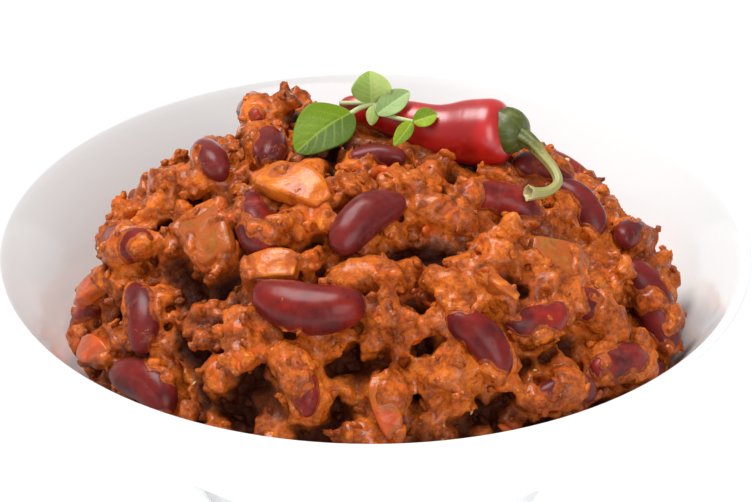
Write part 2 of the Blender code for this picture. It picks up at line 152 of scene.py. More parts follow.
class Graph:
    """A material's nodes."""

    def __init__(self, name: str) -> None:
        """Starts a material with a Principled shader.

        Args:
            name: The material's name.
        """
        self.material = bpy.data.materials.new(name)
        self.material.use_nodes = True
        self.tree = self.material.node_tree
        self.shader = self.tree.nodes["Principled BSDF"]
        self.place = self.node("ShaderNodeTexCoord").outputs["Object"]

    def node(
        self,
        kind: str,
        settings: dict[str, object] | None = None,
        inputs: dict[str | int, object] | None = None,
    ) -> bpy.types.Node:
        """Adds a node.

        Args:
            kind: The node's type.
            settings: Its properties, set first.
            inputs: Values or links of its inputs, by name or number.

        Returns:
            The new node.
        """
        made = self.tree.nodes.new(kind)
        for key, value in (settings or {}).items():
            if key == "stops":
                self._set_stops(made, value)
            else:
                setattr(made, key, value)
        for key, value in (inputs or {}).items():
            self.feed(made.inputs[key], value)
        return made

    @staticmethod
    def _set_stops(ramp: bpy.types.Node, stops: Sequence[tuple[float, Colour]]) -> None:
        """Sets a colour ramp's stops.

        Args:
            ramp: The Color Ramp node.
            stops: Positions with their colours, in order.
        """
        elements = ramp.color_ramp.elements
        while len(elements) < len(stops):
            elements.new(0.5)
        for element, (position, colour) in zip(elements, stops):
            element.position = position
            element.color = (*colour, 1)

    def feed(self, socket: bpy.types.NodeSocket, value: object) -> None:
        """Links a value to a socket, or sets it there.

        Args:
            socket: The input.
            value: A Sock, an output, a number or a colour.
        """
        if isinstance(value, Sock):
            self.tree.links.new(value.socket, socket)
        elif isinstance(value, bpy.types.NodeSocket):
            self.tree.links.new(value, socket)
        elif socket.type == "RGBA" and len(value) == 3:
            socket.default_value = (*value, 1)
        else:
            socket.default_value = value

    def noise(
        self, size: float, detail: float = 2, roughness: float = 0.5, distortion: float = 0, shift: float = 0
    ) -> Sock:
        """Noise in object coordinates.

        Args:
            size: About how far apart its lumps are, in metres.
            detail: How many finer layers it has.
            roughness: How strong the finer layers are.
            distortion: How much it is warped.
            shift: A distance that sets this noise apart from others of the same size.

        Returns:
            The noise, from 0 to 1.
        """
        place = self.place
        if shift:
            moved = {"Vector": place, "Location": (shift, shift, shift)}
            place = self.node("ShaderNodeMapping", None, moved).outputs[0]
        made = self.node(
            "ShaderNodeTexNoise",
            None,
            {"Vector": place, "Scale": 1 / size, "Detail": detail, "Roughness": roughness, "Distortion": distortion},
        )
        return Sock(self, made.outputs["Fac"])

    def cells(self, size: float, feature: str = "F1") -> Sock:
        """Distance to the nearest point of a scattered set.

        Args:
            size: About how far apart the points are, in metres.
            feature: The Voronoi feature.

        Returns:
            The distance, in cells.
        """
        made = self.node("ShaderNodeTexVoronoi", {"feature": feature}, {"Vector": self.place, "Scale": 1 / size})
        return Sock(self, made.outputs["Distance"])

    def attribute(self, name: str) -> Sock:
        """The piece's own attribute of this name, as a number."""
        return Sock(self, self.node("ShaderNodeAttribute", {"attribute_name": name}).outputs["Fac"])

    def mix(self, mask: "Sock | float", first: object, second: object) -> bpy.types.NodeSocket:
        """Mixes two colours.

        Args:
            mask: 0 for the first colour, 1 for the second.
            first: A colour or a link.
            second: A colour or a link.

        Returns:
            The mixed colour.
        """
        made = self.node("ShaderNodeMix", {"data_type": "RGBA", "clamp_factor": True})
        for index, value in ((0, mask), (6, first), (7, second)):
            self.feed(made.inputs[index], value)
        return made.outputs[2]

    def ramp(self, value: Sock, *stops: tuple[float, Colour]) -> bpy.types.NodeSocket:
        """Turns a number into a colour by way of stops."""
        return self.node("ShaderNodeValToRGB", {"stops": stops}, {"Fac": value}).outputs[0]

    def bump(self, height: Sock, distance: float, strength: float = 1, under: object = None) -> bpy.types.NodeSocket:
        """Turns a height into a normal.

        Args:
            height: The height, from 0 to 1.
            distance: How far a height of 1 stands out, in metres.
            strength: How much of it shows.
            under: A coarser normal that this one is added to.

        Returns:
            The normal.
        """
        inputs = {"Height": height, "Distance": distance, "Strength": strength}
        if under is not None:
            inputs["Normal"] = under
        return self.node("ShaderNodeBump", None, inputs).outputs[0]

    def finish(self, **inputs: object) -> bpy.types.Material:
        """Sets the shader's inputs.

        Args:
            inputs: Values or links by the input's name, with _ for a space.

        Returns:
            The material.
        """
        for key, value in inputs.items():
            self.feed(self.shader.inputs[key.replace("_", " ")], value)
        return self.material


# ---------------------------------------------------------------- finishes


@dataclass(frozen=True)
class SauceFinish:
    """Minced meat coated in thick tomato sauce: mottled, grainy and moist, with shade painted near black into the
    gaps.
    """

    name: str = "meat in tomato sauce"
    # Painted shade: the near black that the gaps between the clods are darkened to.
    gap: Colour = (0.022, 0.0025, 0.0006)
    shadow: Colour = (0.145, 0.024, 0.004)
    meat: Colour = (0.30, 0.058, 0.008)
    sauce: Colour = (0.49, 0.100, 0.008)
    bright: Colour = (0.74, 0.190, 0.018)
    scrap: Colour = (0.60, 0.090, 0.008)
    fat: Colour = (0.72, 0.34, 0.10)

    def make(self) -> bpy.types.Material:
        """Mixes the finish.

        Returns:
            The material.
        """
        graph = Graph(self.name)
        patch = graph.noise(8 * MM, 2, 0.55, 0.4)
        grain = graph.noise(1.6 * MM, 3, 0.6, 0.3)
        fine = graph.noise(0.5 * MM, 3, 0.65)
        tone = patch * 0.5 + grain * 0.45 + fine * 0.3 - 0.125
        colour = graph.ramp(tone, (0.34, self.shadow), (0.44, self.meat), (0.53, self.sauce), (0.68, self.bright))
        scraps = graph.noise(3.2 * MM, 1, 0.4, 0.8, 0.3).smooth(0.60, 0.68)
        colour = graph.mix(scraps * 0.6, colour, self.scrap)
        fatty = graph.noise(7 * MM, 0, 0.5, 0, 0.7).smooth(0.56, 0.62)
        specks = graph.cells(2.4 * MM).smooth(0.16, 0.10) * fatty
        colour = graph.mix(specks * 0.7, colour, self.fat)
        # Painted shade: the colour goes almost to black where the surface lies deep between the clods.
        colour = graph.mix(graph.attribute("deep") * 0.95, colour, self.gap)
        crumbs = graph.cells(1.3 * MM, "SMOOTH_F1").smooth(0.75, 0.1)
        normal = graph.bump(crumbs, 0.55 * MM, 0.6)
        normal = graph.bump(grain, 0.5 * MM, 0.5, normal)
        normal = graph.bump(fine, 0.30 * MM, 0.75, normal)
        wet = graph.noise(2.6 * MM, 2, 0.6, 0, 1.1).smooth(0.35, 0.62)
        open_part = 1 - graph.attribute("deep")
        return graph.finish(
            Base_Color=colour,
            Roughness=0.42 + 0.2 * grain,
            Normal=normal,
            Specular_IOR_Level=0.12,
            Coat_Weight=(0.12 + 0.55 * wet) * open_part,
            Coat_Roughness=0.20,
            Coat_IOR=1.42,
        )


@dataclass(frozen=True)
class BeanFinish:
    """Kidney bean skin: dark and glossy, with sauce where the attribute coat is high."""

    name: str
    dark: Colour = (0.075, 0.009, 0.010)
    red: Colour = (0.21, 0.014, 0.009)
    bloom: Colour = (0.24, 0.040, 0.028)
    sauce: Colour = (0.40, 0.078, 0.010)
    sauce_dark: Colour = (0.20, 0.035, 0.008)

    def make(self) -> bpy.types.Material:
        """Mixes the finish.

        Returns:
            The material.
        """
        graph = Graph(self.name)
        tone = graph.noise(8 * MM, 2, 0.5, 0.3)
        mottle = graph.noise(1.3 * MM, 2, 0.6)
        skin = graph.mix((tone * 0.8 + mottle * 0.3).smooth(0.35, 0.75), self.dark, self.red)
        skin = graph.mix(graph.noise(5 * MM, 3, 0.6, 0.6, 0.4).smooth(0.52, 0.75) * 0.5, skin, self.bloom)
        blot = graph.noise(3.0 * MM, 3, 0.62, 0.5, 0.9)
        grit = graph.noise(0.8 * MM, 2, 0.6, 0, 0.6)
        coat = (graph.attribute("coat") * 0.8 + blot * 0.9 + grit * 0.35 - 0.625).smooth(0.34, 0.56)
        film = graph.mix(graph.noise(1.2 * MM, 2).smooth(0.35, 0.65), self.sauce_dark, self.sauce)
        colour = graph.mix(coat, skin, film)
        normal = graph.bump(graph.noise(2.4 * MM, 2, 0.5, 0.5), 0.12 * MM, 0.25)
        normal = graph.bump(coat * (0.6 + 0.4 * graph.noise(0.6 * MM, 2)), 0.4 * MM, 0.8, normal)
        roughness = 0.24 + 0.12 * mottle + 0.20 * coat
        return graph.finish(Base_Color=colour, Roughness=roughness, Normal=normal, Specular_IOR_Level=0.22)


@dataclass(frozen=True)
class VegetableFinish:
    """Cooked vegetable flesh: translucent looking, moist, with a film of sauce here and there."""

    name: str
    flesh: Colour
    deep: Colour
    film: Colour
    film_from: float = 0.56

    def make(self) -> bpy.types.Material:
        """Mixes the finish.

        Returns:
            The material.
        """
        graph = Graph(self.name)
        flesh = graph.mix(graph.noise(2.6 * MM, 3, 0.55, 0.6).smooth(0.3, 0.7), self.flesh, self.deep)
        blot = graph.noise(3.4 * MM, 3, 0.6, 0.6, 0.5) + graph.attribute("coat") * 0.35
        film = blot.smooth(self.film_from, self.film_from + 0.14)
        colour = graph.mix(film, flesh, self.film)
        height = graph.noise(1.1 * MM, 3, 0.55)
        normal = graph.bump(height, 0.3 * MM, 0.5)
        roughness = 0.16 + 0.22 * graph.noise(2.2 * MM, 2, 0.5, 0, 0.2)
        return graph.finish(
            Base_Color=colour,
            Roughness=roughness,
            Normal=normal,
            Specular_IOR_Level=0.36,
            Subsurface_Weight=0.15,
            Subsurface_Radius=(1.0, 0.4, 0.1),
            Subsurface_Scale=1.5 * MM,
        )


@dataclass(frozen=True)
class PodFinish:
    """Red chilli skin: smooth, waxy and glossy, in uneven reds."""

    name: str = "chilli skin"
    red: Colour = (0.53, 0.007, 0.006)
    deep: Colour = (0.31, 0.002, 0.002)
    light: Colour = (0.68, 0.05, 0.035)

    def make(self) -> bpy.types.Material:
        """Mixes the finish.

        Returns:
            The material.
        """
        graph = Graph(self.name)
        colour = graph.mix(graph.noise(9 * MM, 2, 0.5, 0.3).smooth(0.35, 0.7), self.deep, self.red)
        colour = graph.mix(graph.noise(3 * MM, 2, 0.5, 0, 0.4).smooth(0.55, 0.8) * 0.4, colour, self.light)
        normal = graph.bump(graph.noise(3.5 * MM, 2, 0.5, 0.4), 0.25 * MM, 0.25)
        roughness = 0.30 + 0.10 * graph.noise(1.5 * MM, 2, 0.5, 0, 0.8)
        return graph.finish(
            Base_Color=colour, Roughness=roughness, Normal=normal, Coat_Weight=0.8, Coat_Roughness=0.32
        )


@dataclass(frozen=True)
class StalkFinish:
    """The chilli's calyx and stalk: green and waxy, paler along the ribs and towards the cut end."""

    name: str = "chilli stalk"
    green: Colour = (0.058, 0.078, 0.008)
    pale: Colour = (0.31, 0.29, 0.09)
    dry: Colour = (0.45, 0.38, 0.17)

    def make(self) -> bpy.types.Material:
        """Mixes the finish.

        Returns:
            The material.
        """
        graph = Graph(self.name)
        along = graph.attribute("along")
        fibre = graph.noise(0.9 * MM, 3, 0.6, 0.4)
        colour = graph.mix((along + fibre * 0.3 - 0.15).smooth(0.18, 0.42), self.green, self.pale)
        streak = graph.noise(2.2 * MM, 2, 0.6, 0.5).smooth(0.45, 0.7)
        colour = graph.mix(graph.attribute("rib") * 0.15 + streak * 0.22, colour, self.pale)
        colour = graph.mix(along.smooth(0.90, 0.99), colour, self.dry)
        normal = graph.bump(fibre, 0.2 * MM, 0.5)
        return graph.finish(Base_Color=colour, Roughness=0.36 + 0.15 * fibre, Normal=normal)


@dataclass(frozen=True)
class LeafFinish:
    """An oregano leaf: green with paler veins, with shade painted darker on one half of the blade."""

    name: str
    green: Colour
    # The darker green of random patches and of the painted shade on one half of the blade.
    dark: Colour
    vein: Colour

    def make(self) -> bpy.types.Material:
        """Mixes the finish.

        Returns:
            The material.
        """
        graph = Graph(self.name)
        # Painted shade: the attribute side is 1 on one half of the blade, which turns that half darker.
        tone = graph.noise(4 * MM, 3, 0.55) * 0.5 + graph.attribute("side") * 0.6
        colour = graph.mix(tone.smooth(0.25, 0.75), self.green, self.dark)
        colour = graph.mix(graph.attribute("vein") * 0.75, colour, self.vein)
        cells = graph.cells(0.55 * MM)
        normal = graph.bump(cells, 0.12 * MM, 0.35)
        return graph.finish(
            Base_Color=colour,
            Roughness=0.42 + 0.12 * cells,
            Normal=normal,
            Specular_IOR_Level=0.16,
            Subsurface_Weight=0.2,
            Subsurface_Radius=(0.4, 1.0, 0.1),
            Subsurface_Scale=0.8 * MM,
        )


@dataclass(frozen=True)
class PorcelainFinish:
    """White glazed porcelain."""

    name: str = "white porcelain"
    white: Colour = (0.82, 0.845, 0.85)
    warm: Colour = (0.80, 0.82, 0.82)

    def make(self) -> bpy.types.Material:
        """Mixes the finish.

        Returns:
            The material.
        """
        graph = Graph(self.name)
        colour = graph.mix(graph.noise(40 * MM, 2), self.white, self.warm)
        roughness = 0.10 + 0.06 * graph.noise(9 * MM, 2)
        normal = graph.bump(graph.noise(14 * MM, 1), 0.2 * MM, 0.08)
        return graph.finish(Base_Color=colour, Roughness=roughness, Normal=normal, Coat_Weight=0.3)


# ---------------------------------------------------------------- mesh tools


def publish(obj: bpy.types.Object, slot: str, *replaced: str) -> bpy.types.Object:
    """Attaches a finished piece to the root body and hides the nodes that it stands for.

    Args:
        obj: The piece.
        slot: The record's material slot. Not used.
        replaced: The model's nodes that it stands for.

    Returns:
        The piece.
    """
    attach(obj, ROOT)
    if replaced:
        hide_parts(*replaced)
    log.info("%s: %d faces, for %s", obj.name, len(obj.data.polygons), ", ".join(replaced) or "no node")
    return obj


def new_object(name: str, mesh: bpy.types.Mesh, material: bpy.types.Material | None = None) -> bpy.types.Object:
    """Links a mesh into the scene as an object at the origin.

    Args:
        name: The object's name.
        mesh: Its mesh.
        material: Its finish.

    Returns:
        The object.
    """
    obj = bpy.data.objects.new(name, mesh)
    bpy.context.scene.collection.objects.link(obj)
    if material is not None:
        mesh.materials.clear()
        mesh.materials.append(material)
    return obj


def apply_modifiers(obj: bpy.types.Object) -> None:
    """Turns what an object's modifiers make into its plain mesh.

    Args:
        obj: The object, which is left without modifiers.
    """
    graph = bpy.context.evaluated_depsgraph_get()
    graph.update()
    mesh = bpy.data.meshes.new_from_object(obj.evaluated_get(graph))
    old = obj.data
    obj.modifiers.clear()
    obj.data = mesh
    bpy.data.meshes.remove(old)


def modify(obj: bpy.types.Object, kind: str, **settings: object) -> None:
    """Gives an object one modifier and applies it.

    Args:
        obj: The object.
        kind: The modifier's type.
        settings: Its settings.
    """
    modifier = obj.modifiers.new(kind.title(), kind)
    for key, value in settings.items():
        setattr(modifier, key, value)
    apply_modifiers(obj)


def node_copy(node: str, quads: bool = True) -> bmesh.types.BMesh:
    """A welded copy of a node's mesh.

    Args:
        node: The node's name.
        quads: Whether pairs of triangles are joined.

    Returns:
        The copy, which the caller frees.
    """
    mesh = bmesh.new()
    mesh.from_mesh(bpy.data.objects[node].data)
    bmesh.ops.remove_doubles(mesh, verts=mesh.verts, dist=WELD)
    if quads:
        flat, square = math.radians(50), math.radians(70)
        bmesh.ops.join_triangles(mesh, faces=mesh.faces, angle_face_threshold=flat, angle_shape_threshold=square)
    return mesh


def to_mesh(mesh: bmesh.types.BMesh, name: str, smooth: bool = True) -> bpy.types.Mesh:
    """Turns a bmesh into mesh data and frees it.

    Args:
        mesh: The bmesh.
        name: The data's name.
        smooth: Whether its faces are shaded smooth.

    Returns:
        The mesh data.
    """
    data = bpy.data.meshes.new(name)
    mesh.to_mesh(data)
    mesh.free()
    if smooth:
        data.shade_smooth()
    return data


def rows_of(items: bpy.types.bpy_prop_collection, key: str) -> np.ndarray:
    """A vector of each item, one row each.

    Args:
        items: A mesh's points or its point normals.
        key: Which vector to read.

    Returns:
        The rows.
    """
    flat = np.empty(len(items) * 3, np.float32)
    items.foreach_get(key, flat)
    return flat.reshape(-1, 3).astype(float)


def points_of(mesh: bpy.types.Mesh) -> np.ndarray:
    """The mesh's points, one row each."""
    return rows_of(mesh.vertices, "co")


def normals_of(mesh: bpy.types.Mesh) -> np.ndarray:
    """The mesh's point normals, one row each."""
    return rows_of(mesh.vertex_normals, "vector")


def set_points(mesh: bpy.types.Mesh, points: np.ndarray) -> None:
    """Moves the mesh's points."""
    mesh.vertices.foreach_set("co", points.astype(np.float32).ravel())
    mesh.update()


def set_attribute(mesh: bpy.types.Mesh, name: str, values: Sequence[float]) -> None:
    """Stores one number for each point.

    Args:
        mesh: The mesh.
        name: The attribute's name.
        values: A number for each point.
    """
    layer = mesh.attributes.new(name, "FLOAT", "POINT")
    layer.data.foreach_set("value", np.asarray(values, np.float32))


def surface_tree(obj: bpy.types.Object) -> BVHTree:
    """A search tree of an object's surface."""
    faces = [tuple(face.vertices) for face in obj.data.polygons]
    return BVHTree.FromPolygons([vertex.co for vertex in obj.data.vertices], faces)


def gaps_to(tree: BVHTree, points: np.ndarray) -> np.ndarray:
    """How far each point is from a surface.

    Args:
        tree: The surface's search tree.
        points: One row for each point.

    Returns:
        The distances.
    """
    return np.array([tree.find_nearest(Vector(point))[3] for point in points])


def merged(
    name: str, meshes: Iterable[bpy.types.Mesh], material: bpy.types.Material | None = None
) -> bpy.types.Object:
    """One object out of several meshes.

    Args:
        name: The object's name.
        meshes: The meshes, which stay as they are.
        material: Its finish.

    Returns:
        The object.
    """
    joined = bmesh.new()
    for mesh in meshes:
        joined.from_mesh(mesh)
    return new_object(name, to_mesh(joined, name), material)


def ease(value: np.ndarray | float, low: float, high: float) -> np.ndarray:
    """Rises smoothly from 0 at low to 1 at high."""
    share = np.clip((np.asarray(value, float) - low) / (high - low), 0, 1)
    return share * share * (3 - 2 * share)


def noise_at(points: np.ndarray, size: float, shift: float = 0) -> np.ndarray:
    """Noise from about -1 to 1 at each point.

    Args:
        points: One row for each point.
        size: About how far apart its lumps are.
        shift: Sets this noise apart from others of the same size.

    Returns:
        The noise at each point.
    """
    move = Vector((shift, 2 * shift, 3 * shift))
    return np.array([noise.noise(Vector(point) / size + move) for point in points])


def roughen(mesh: bpy.types.Mesh, *layers: tuple[float, float, float]) -> None:
    """Moves points along their normals by layers of noise.

    Args:
        mesh: The mesh.
        layers: For each, the lumps' size, their height and a shift.
    """
    points, normals = points_of(mesh), normals_of(mesh)
    total = sum(height * noise_at(points, size, shift) for size, height, shift in layers)
    set_points(mesh, points + normals * np.asarray(total)[:, None])


def subdivided(
    name: str, mesh: bmesh.types.BMesh, levels: int, material: bpy.types.Material | None = None, crease: float = 0
) -> bpy.types.Object:
    """A smooth object from a coarse cage.

    Args:
        name: The object's name.
        mesh: The cage.
        levels: How often it is subdivided.
        material: The finish.
        crease: How firmly the cage's sharp edges are kept, from 0 to 1.

    Returns:
        The object, with the subdivision applied.
    """
    if crease:
        layer = mesh.edges.layers.float.new("crease_edge")
        for edge in mesh.edges:
            edge[layer] = crease * (edge.calc_face_angle(0) > math.radians(40))
    obj = new_object(name, to_mesh(mesh, name), material)
    modify(obj, "SUBSURF", levels=levels, render_levels=levels)
    obj.data.shade_smooth()
    return obj


def swollen(mesh: bmesh.types.BMesh, factor: float) -> bmesh.types.BMesh:
    """The mesh scaled about its middle, to make up for what subdivision takes off.

    Args:
        mesh: The mesh, changed in place.
        factor: How much larger it becomes.

    Returns:
        The same mesh.
    """
    middle = sum((vertex.co for vertex in mesh.verts), Vector()) / len(mesh.verts)
    for vertex in mesh.verts:
        vertex.co = middle + (vertex.co - middle) * factor
    return mesh


def ring_mesh(
    name: str, rings: Sequence[Sequence[Vector]], attributes: dict[str, Sequence[Sequence[float]]] | None = None
) -> bpy.types.Mesh:
    """A closed tube through rings of points, with its ends capped by fans.

    Args:
        name: The mesh's name.
        rings: Rings of equal length, from one end to the other.
        attributes: Numbers for each point of each ring, by name.

    Returns:
        The mesh, facing outwards.
    """
    tube = bmesh.new()
    layers = {key: tube.verts.layers.float.new(key) for key in (attributes or {})}
    made = []
    for i, ring in enumerate(rings):
        row = [tube.verts.new(point) for point in ring]
        for key, layer in layers.items():
            for vertex, value in zip(row, attributes[key][i]):
                vertex[layer] = value
        made.append(row)
    sides = len(rings[0])
    for low, high in zip(made, made[1:]):
        for i in range(sides):
            tube.faces.new((low[i], low[(i + 1) % sides], high[(i + 1) % sides], high[i]))
    for row, flip in ((made[0], True), (made[-1], False)):
        centre = tube.verts.new(sum((vertex.co for vertex in row), Vector()) / sides)
        for layer in layers.values():
            centre[layer] = row[0][layer]
        for i in range(sides):
            pair = (row[i], row[(i + 1) % sides])
            tube.faces.new((*pair[::-1], centre) if flip else (*pair, centre))
    bmesh.ops.recalc_face_normals(tube, faces=tube.faces)
    return to_mesh(tube, name)


def spline(points: Sequence[Vector], values: Sequence[float], steps: int) -> list[tuple[Vector, float]]:
    """A smooth curve through points.

    Args:
        points: What it passes through.
        values: A number at each point, such as a radius.
        steps: How many steps it takes between two points.

    Returns:
        The curve's points with their numbers.
    """
    made = []
    for i in range(len(points) - 1):
        a, b = points[max(i - 1, 0)], points[i]
        c, d = points[i + 1], points[min(i + 2, len(points) - 1)]
        for step in range(steps + (i == len(points) - 2)):
            t = step / steps
            point = 0.5 * (2 * b + (c - a) * t + (2 * a - 5 * b + 4 * c - d) * t**2 + (3 * b - a - 3 * c + d) * t**3)
            made.append((point, values[i] + (values[i + 1] - values[i]) * t))
    return made


def tube_rings(
    path: Sequence[tuple[Vector, float]], sides: int, rib: Callable[[float, float], float] | None = None
) -> list[list[Vector]]:
    """Rings of points round a path.

    Args:
        path: The path's points with the radius at each.
        sides: How many points a ring has.
        rib: A factor on the radius from the angle and the share of the path.

    Returns:
        The rings.
    """
    across = (path[1][0] - path[0][0]).orthogonal().normalized()
    rings = []
    for i, (point, radius) in enumerate(path):
        ahead, behind = path[min(i + 1, len(path) - 1)][0], path[max(i - 1, 0)][0]
        along = (ahead - behind).normalized()
        across = (across - along * across.dot(along)).normalized()
        other = along.cross(across)
        ring = []
        for side in range(sides):
            angle = 2 * math.pi * side / sides
            reach = radius * (rib(angle, i / (len(path) - 1)) if rib else 1)
            ring.append(point + (across * math.cos(angle) + other * math.sin(angle)) * reach)
        rings.append(ring)
    return rings


# ---------------------------------------------------------------- geometry nodes


class Scatter:
    """A Geometry Nodes tree that scatters shapes over a surface, clear of the pieces set in it."""

    INPUTS = (
        ("Spacing", "NodeSocketFloat"),
        ("Smallest", "NodeSocketFloat"),
        ("Largest", "NodeSocketFloat"),
        ("Clear distance", "NodeSocketFloat"),
        ("Lowest", "NodeSocketFloat"),
        ("Share kept", "NodeSocketFloat"),
        ("Seed", "NodeSocketInt"),
        ("Shapes", "NodeSocketCollection"),
        ("Pieces", "NodeSocketObject"),
        ("Finish", "NodeSocketMaterial"),
    )
    DENSITY = 1.0e7
    LEAST_ROOM = 0.18
    LEAN = 0.5

    def __init__(self, name: str, keep_surface: bool) -> None:
        """Builds the tree.

        Args:
            name: The tree's name.
            keep_surface: Whether the surface stays in the result.
        """
        self.tree = bpy.data.node_groups.new(name, "GeometryNodeTree")
        face = self.tree.interface
        face.new_socket(name="Geometry", in_out="OUTPUT", socket_type="NodeSocketGeometry")
        face.new_socket(name="Geometry", in_out="INPUT", socket_type="NodeSocketGeometry")
        self.sockets = {
            label: face.new_socket(name=label, in_out="INPUT", socket_type=kind).identifier
            for label, kind in self.INPUTS
        }
        self._build(keep_surface)

    def _node(self, kind: str, settings: dict[str, object] | None = None, **inputs: object) -> bpy.types.Node:
        """Adds a node.

        Args:
            kind: The node's type.
            settings: Its properties.
            inputs: Values or links by the input's name, with _ for a space.

        Returns:
            The node.
        """
        made = self.tree.nodes.new(kind)
        for key, value in (settings or {}).items():
            setattr(made, key, value)
        for key, value in inputs.items():
            self._feed(next(s for s in made.inputs if s.name == key.replace("_", " ") and s.enabled), value)
        return made

    def _feed(self, socket: bpy.types.NodeSocket, value: object) -> None:
        """Links a value to a socket, or sets it there.

        Args:
            socket: The input.
            value: An output, or a plain value.
        """
        if isinstance(value, bpy.types.NodeSocket):
            self.tree.links.new(value, socket)
        else:
            socket.default_value = value

    def _math(self, operation: str, first: object, second: object) -> bpy.types.NodeSocket:
        """Adds a Math node.

        Args:
            operation: The node's operation.
            first: What its first input takes.
            second: What its second input takes.

        Returns:
            The node's result.
        """
        made = self._node("ShaderNodeMath", {"operation": operation})
        for socket, value in zip(made.inputs, (first, second)):
            self._feed(socket, value)
        return made.outputs[0]

    def _draw(self, low: object, high: object, seed: object, data_type: str = "FLOAT") -> bpy.types.NodeSocket:
        """A random value for each point.

        Args:
            low: The least value.
            high: The greatest value.
            seed: The seed.
            data_type: FLOAT, or FLOAT_VECTOR for three numbers.

        Returns:
            The value.
        """
        made = self._node("FunctionNodeRandomValue", {"data_type": data_type}, Min=low, Max=high, Seed=seed)
        return next(socket for socket in made.outputs if socket.enabled)

    def _build(self, keep_surface: bool) -> None:
        """Adds the tree's nodes.

        Args:
            keep_surface: Whether the surface stays in the result.
        """
        given = self.tree.nodes.new("NodeGroupInput").outputs
        scattered = self._points(given)
        room = self._room(given)
        luck = self._draw(0.0, 1.0, self._math("ADD", given["Seed"], 7))
        dropped = self._math("GREATER_THAN", luck, given["Share kept"])
        crowded = self._math("LESS_THAN", room, self.LEAST_ROOM)
        cleared = self._node(
            "GeometryNodeDeleteGeometry",
            {"domain": "POINT"},
            Geometry=scattered.outputs["Points"],
            Selection=self._math("MAXIMUM", dropped, crowded),
        )
        shapes = self._node(
            "GeometryNodeCollectionInfo",
            None,
            Collection=given["Shapes"],
            Separate_Children=True,
            Reset_Children=True,
        )
        size = self._draw(given["Smallest"], given["Largest"], given["Seed"])
        placed = self._node(
            "GeometryNodeInstanceOnPoints",
            None,
            Points=cleared.outputs[0],
            Instance=shapes.outputs[0],
            Pick_Instance=True,
            Rotation=self._turned(scattered.outputs["Rotation"], given["Seed"]),
            Scale=self._math("MULTIPLY", size, room),
        )
        result = self._node("GeometryNodeRealizeInstances", None, Geometry=placed.outputs[0]).outputs[0]
        if keep_surface:
            joined = self.tree.nodes.new("GeometryNodeJoinGeometry")
            for part in (given["Geometry"], result):
                self.tree.links.new(part, joined.inputs[0])
            result = joined.outputs[0]
        finished = self._node("GeometryNodeSetMaterial", None, Geometry=result, Material=given["Finish"])
        end = self.tree.nodes.new("NodeGroupOutput")
        self.tree.links.new(finished.outputs[0], end.inputs[0])

    def _points(self, given: bpy.types.bpy_prop_collection) -> bpy.types.Node:
        """Evenly spaced points on the surface above the lowest height.

        Args:
            given: The tree's inputs.

        Returns:
            The node that scatters them.
        """
        height = self._node("ShaderNodeSeparateXYZ", None, Vector=self._node("GeometryNodeInputPosition").outputs[0])
        return self._node(
            "GeometryNodeDistributePointsOnFaces",
            {"distribute_method": "POISSON"},
            Mesh=given["Geometry"],
            Selection=self._math("GREATER_THAN", height.outputs["Z"], given["Lowest"]),
            Distance_Min=given["Spacing"],
            Density_Max=self.DENSITY,
            Seed=given["Seed"],
        )

    def _room(self, given: bpy.types.bpy_prop_collection) -> bpy.types.NodeSocket:
        """How much room each point has beside the pieces.

        Args:
            given: The tree's inputs.

        Returns:
            The room, from 0 at a piece to 1 at the clear distance.
        """
        pieces = self._node("GeometryNodeObjectInfo", {"transform_space": "RELATIVE"}, Object=given["Pieces"])
        near = self._node("GeometryNodeProximity", {"target_element": "FACES"}, Geometry=pieces.outputs["Geometry"])
        gap, clear = near.outputs["Distance"], given["Clear distance"]
        return self._node("ShaderNodeMapRange", None, Value=gap, From_Max=clear).outputs[0]

    def _turned(self, rotation: bpy.types.NodeSocket, seed: bpy.types.NodeSocket) -> bpy.types.NodeSocket:
        """Leans and turns each shape by chance.

        Args:
            rotation: How the surface lies.
            seed: The seed.

        Returns:
            The rotation of each shape.
        """
        most = Vector((self.LEAN, self.LEAN, math.pi))
        turn = self._node("FunctionNodeEulerToRotation", None, Euler=self._draw(-most, most, seed, "FLOAT_VECTOR"))
        return self._node(
            "FunctionNodeRotateRotation", {"rotation_space": "LOCAL"}, Rotation=rotation, Rotate_By=turn.outputs[0]
        ).outputs[0]

    def add_to(self, obj: bpy.types.Object, **values: object) -> None:
        """Adds the tree to an object as a modifier.

        Args:
            obj: The object.
            values: The inputs by name, with _ for a space.
        """
        modifier = obj.modifiers.new(self.tree.name, "NODES")
        modifier.node_group = self.tree
        for label, value in values.items():
            modifier[self.sockets[label.replace("_", " ")]] = value


# ---------------------------------------------------------------- bowl


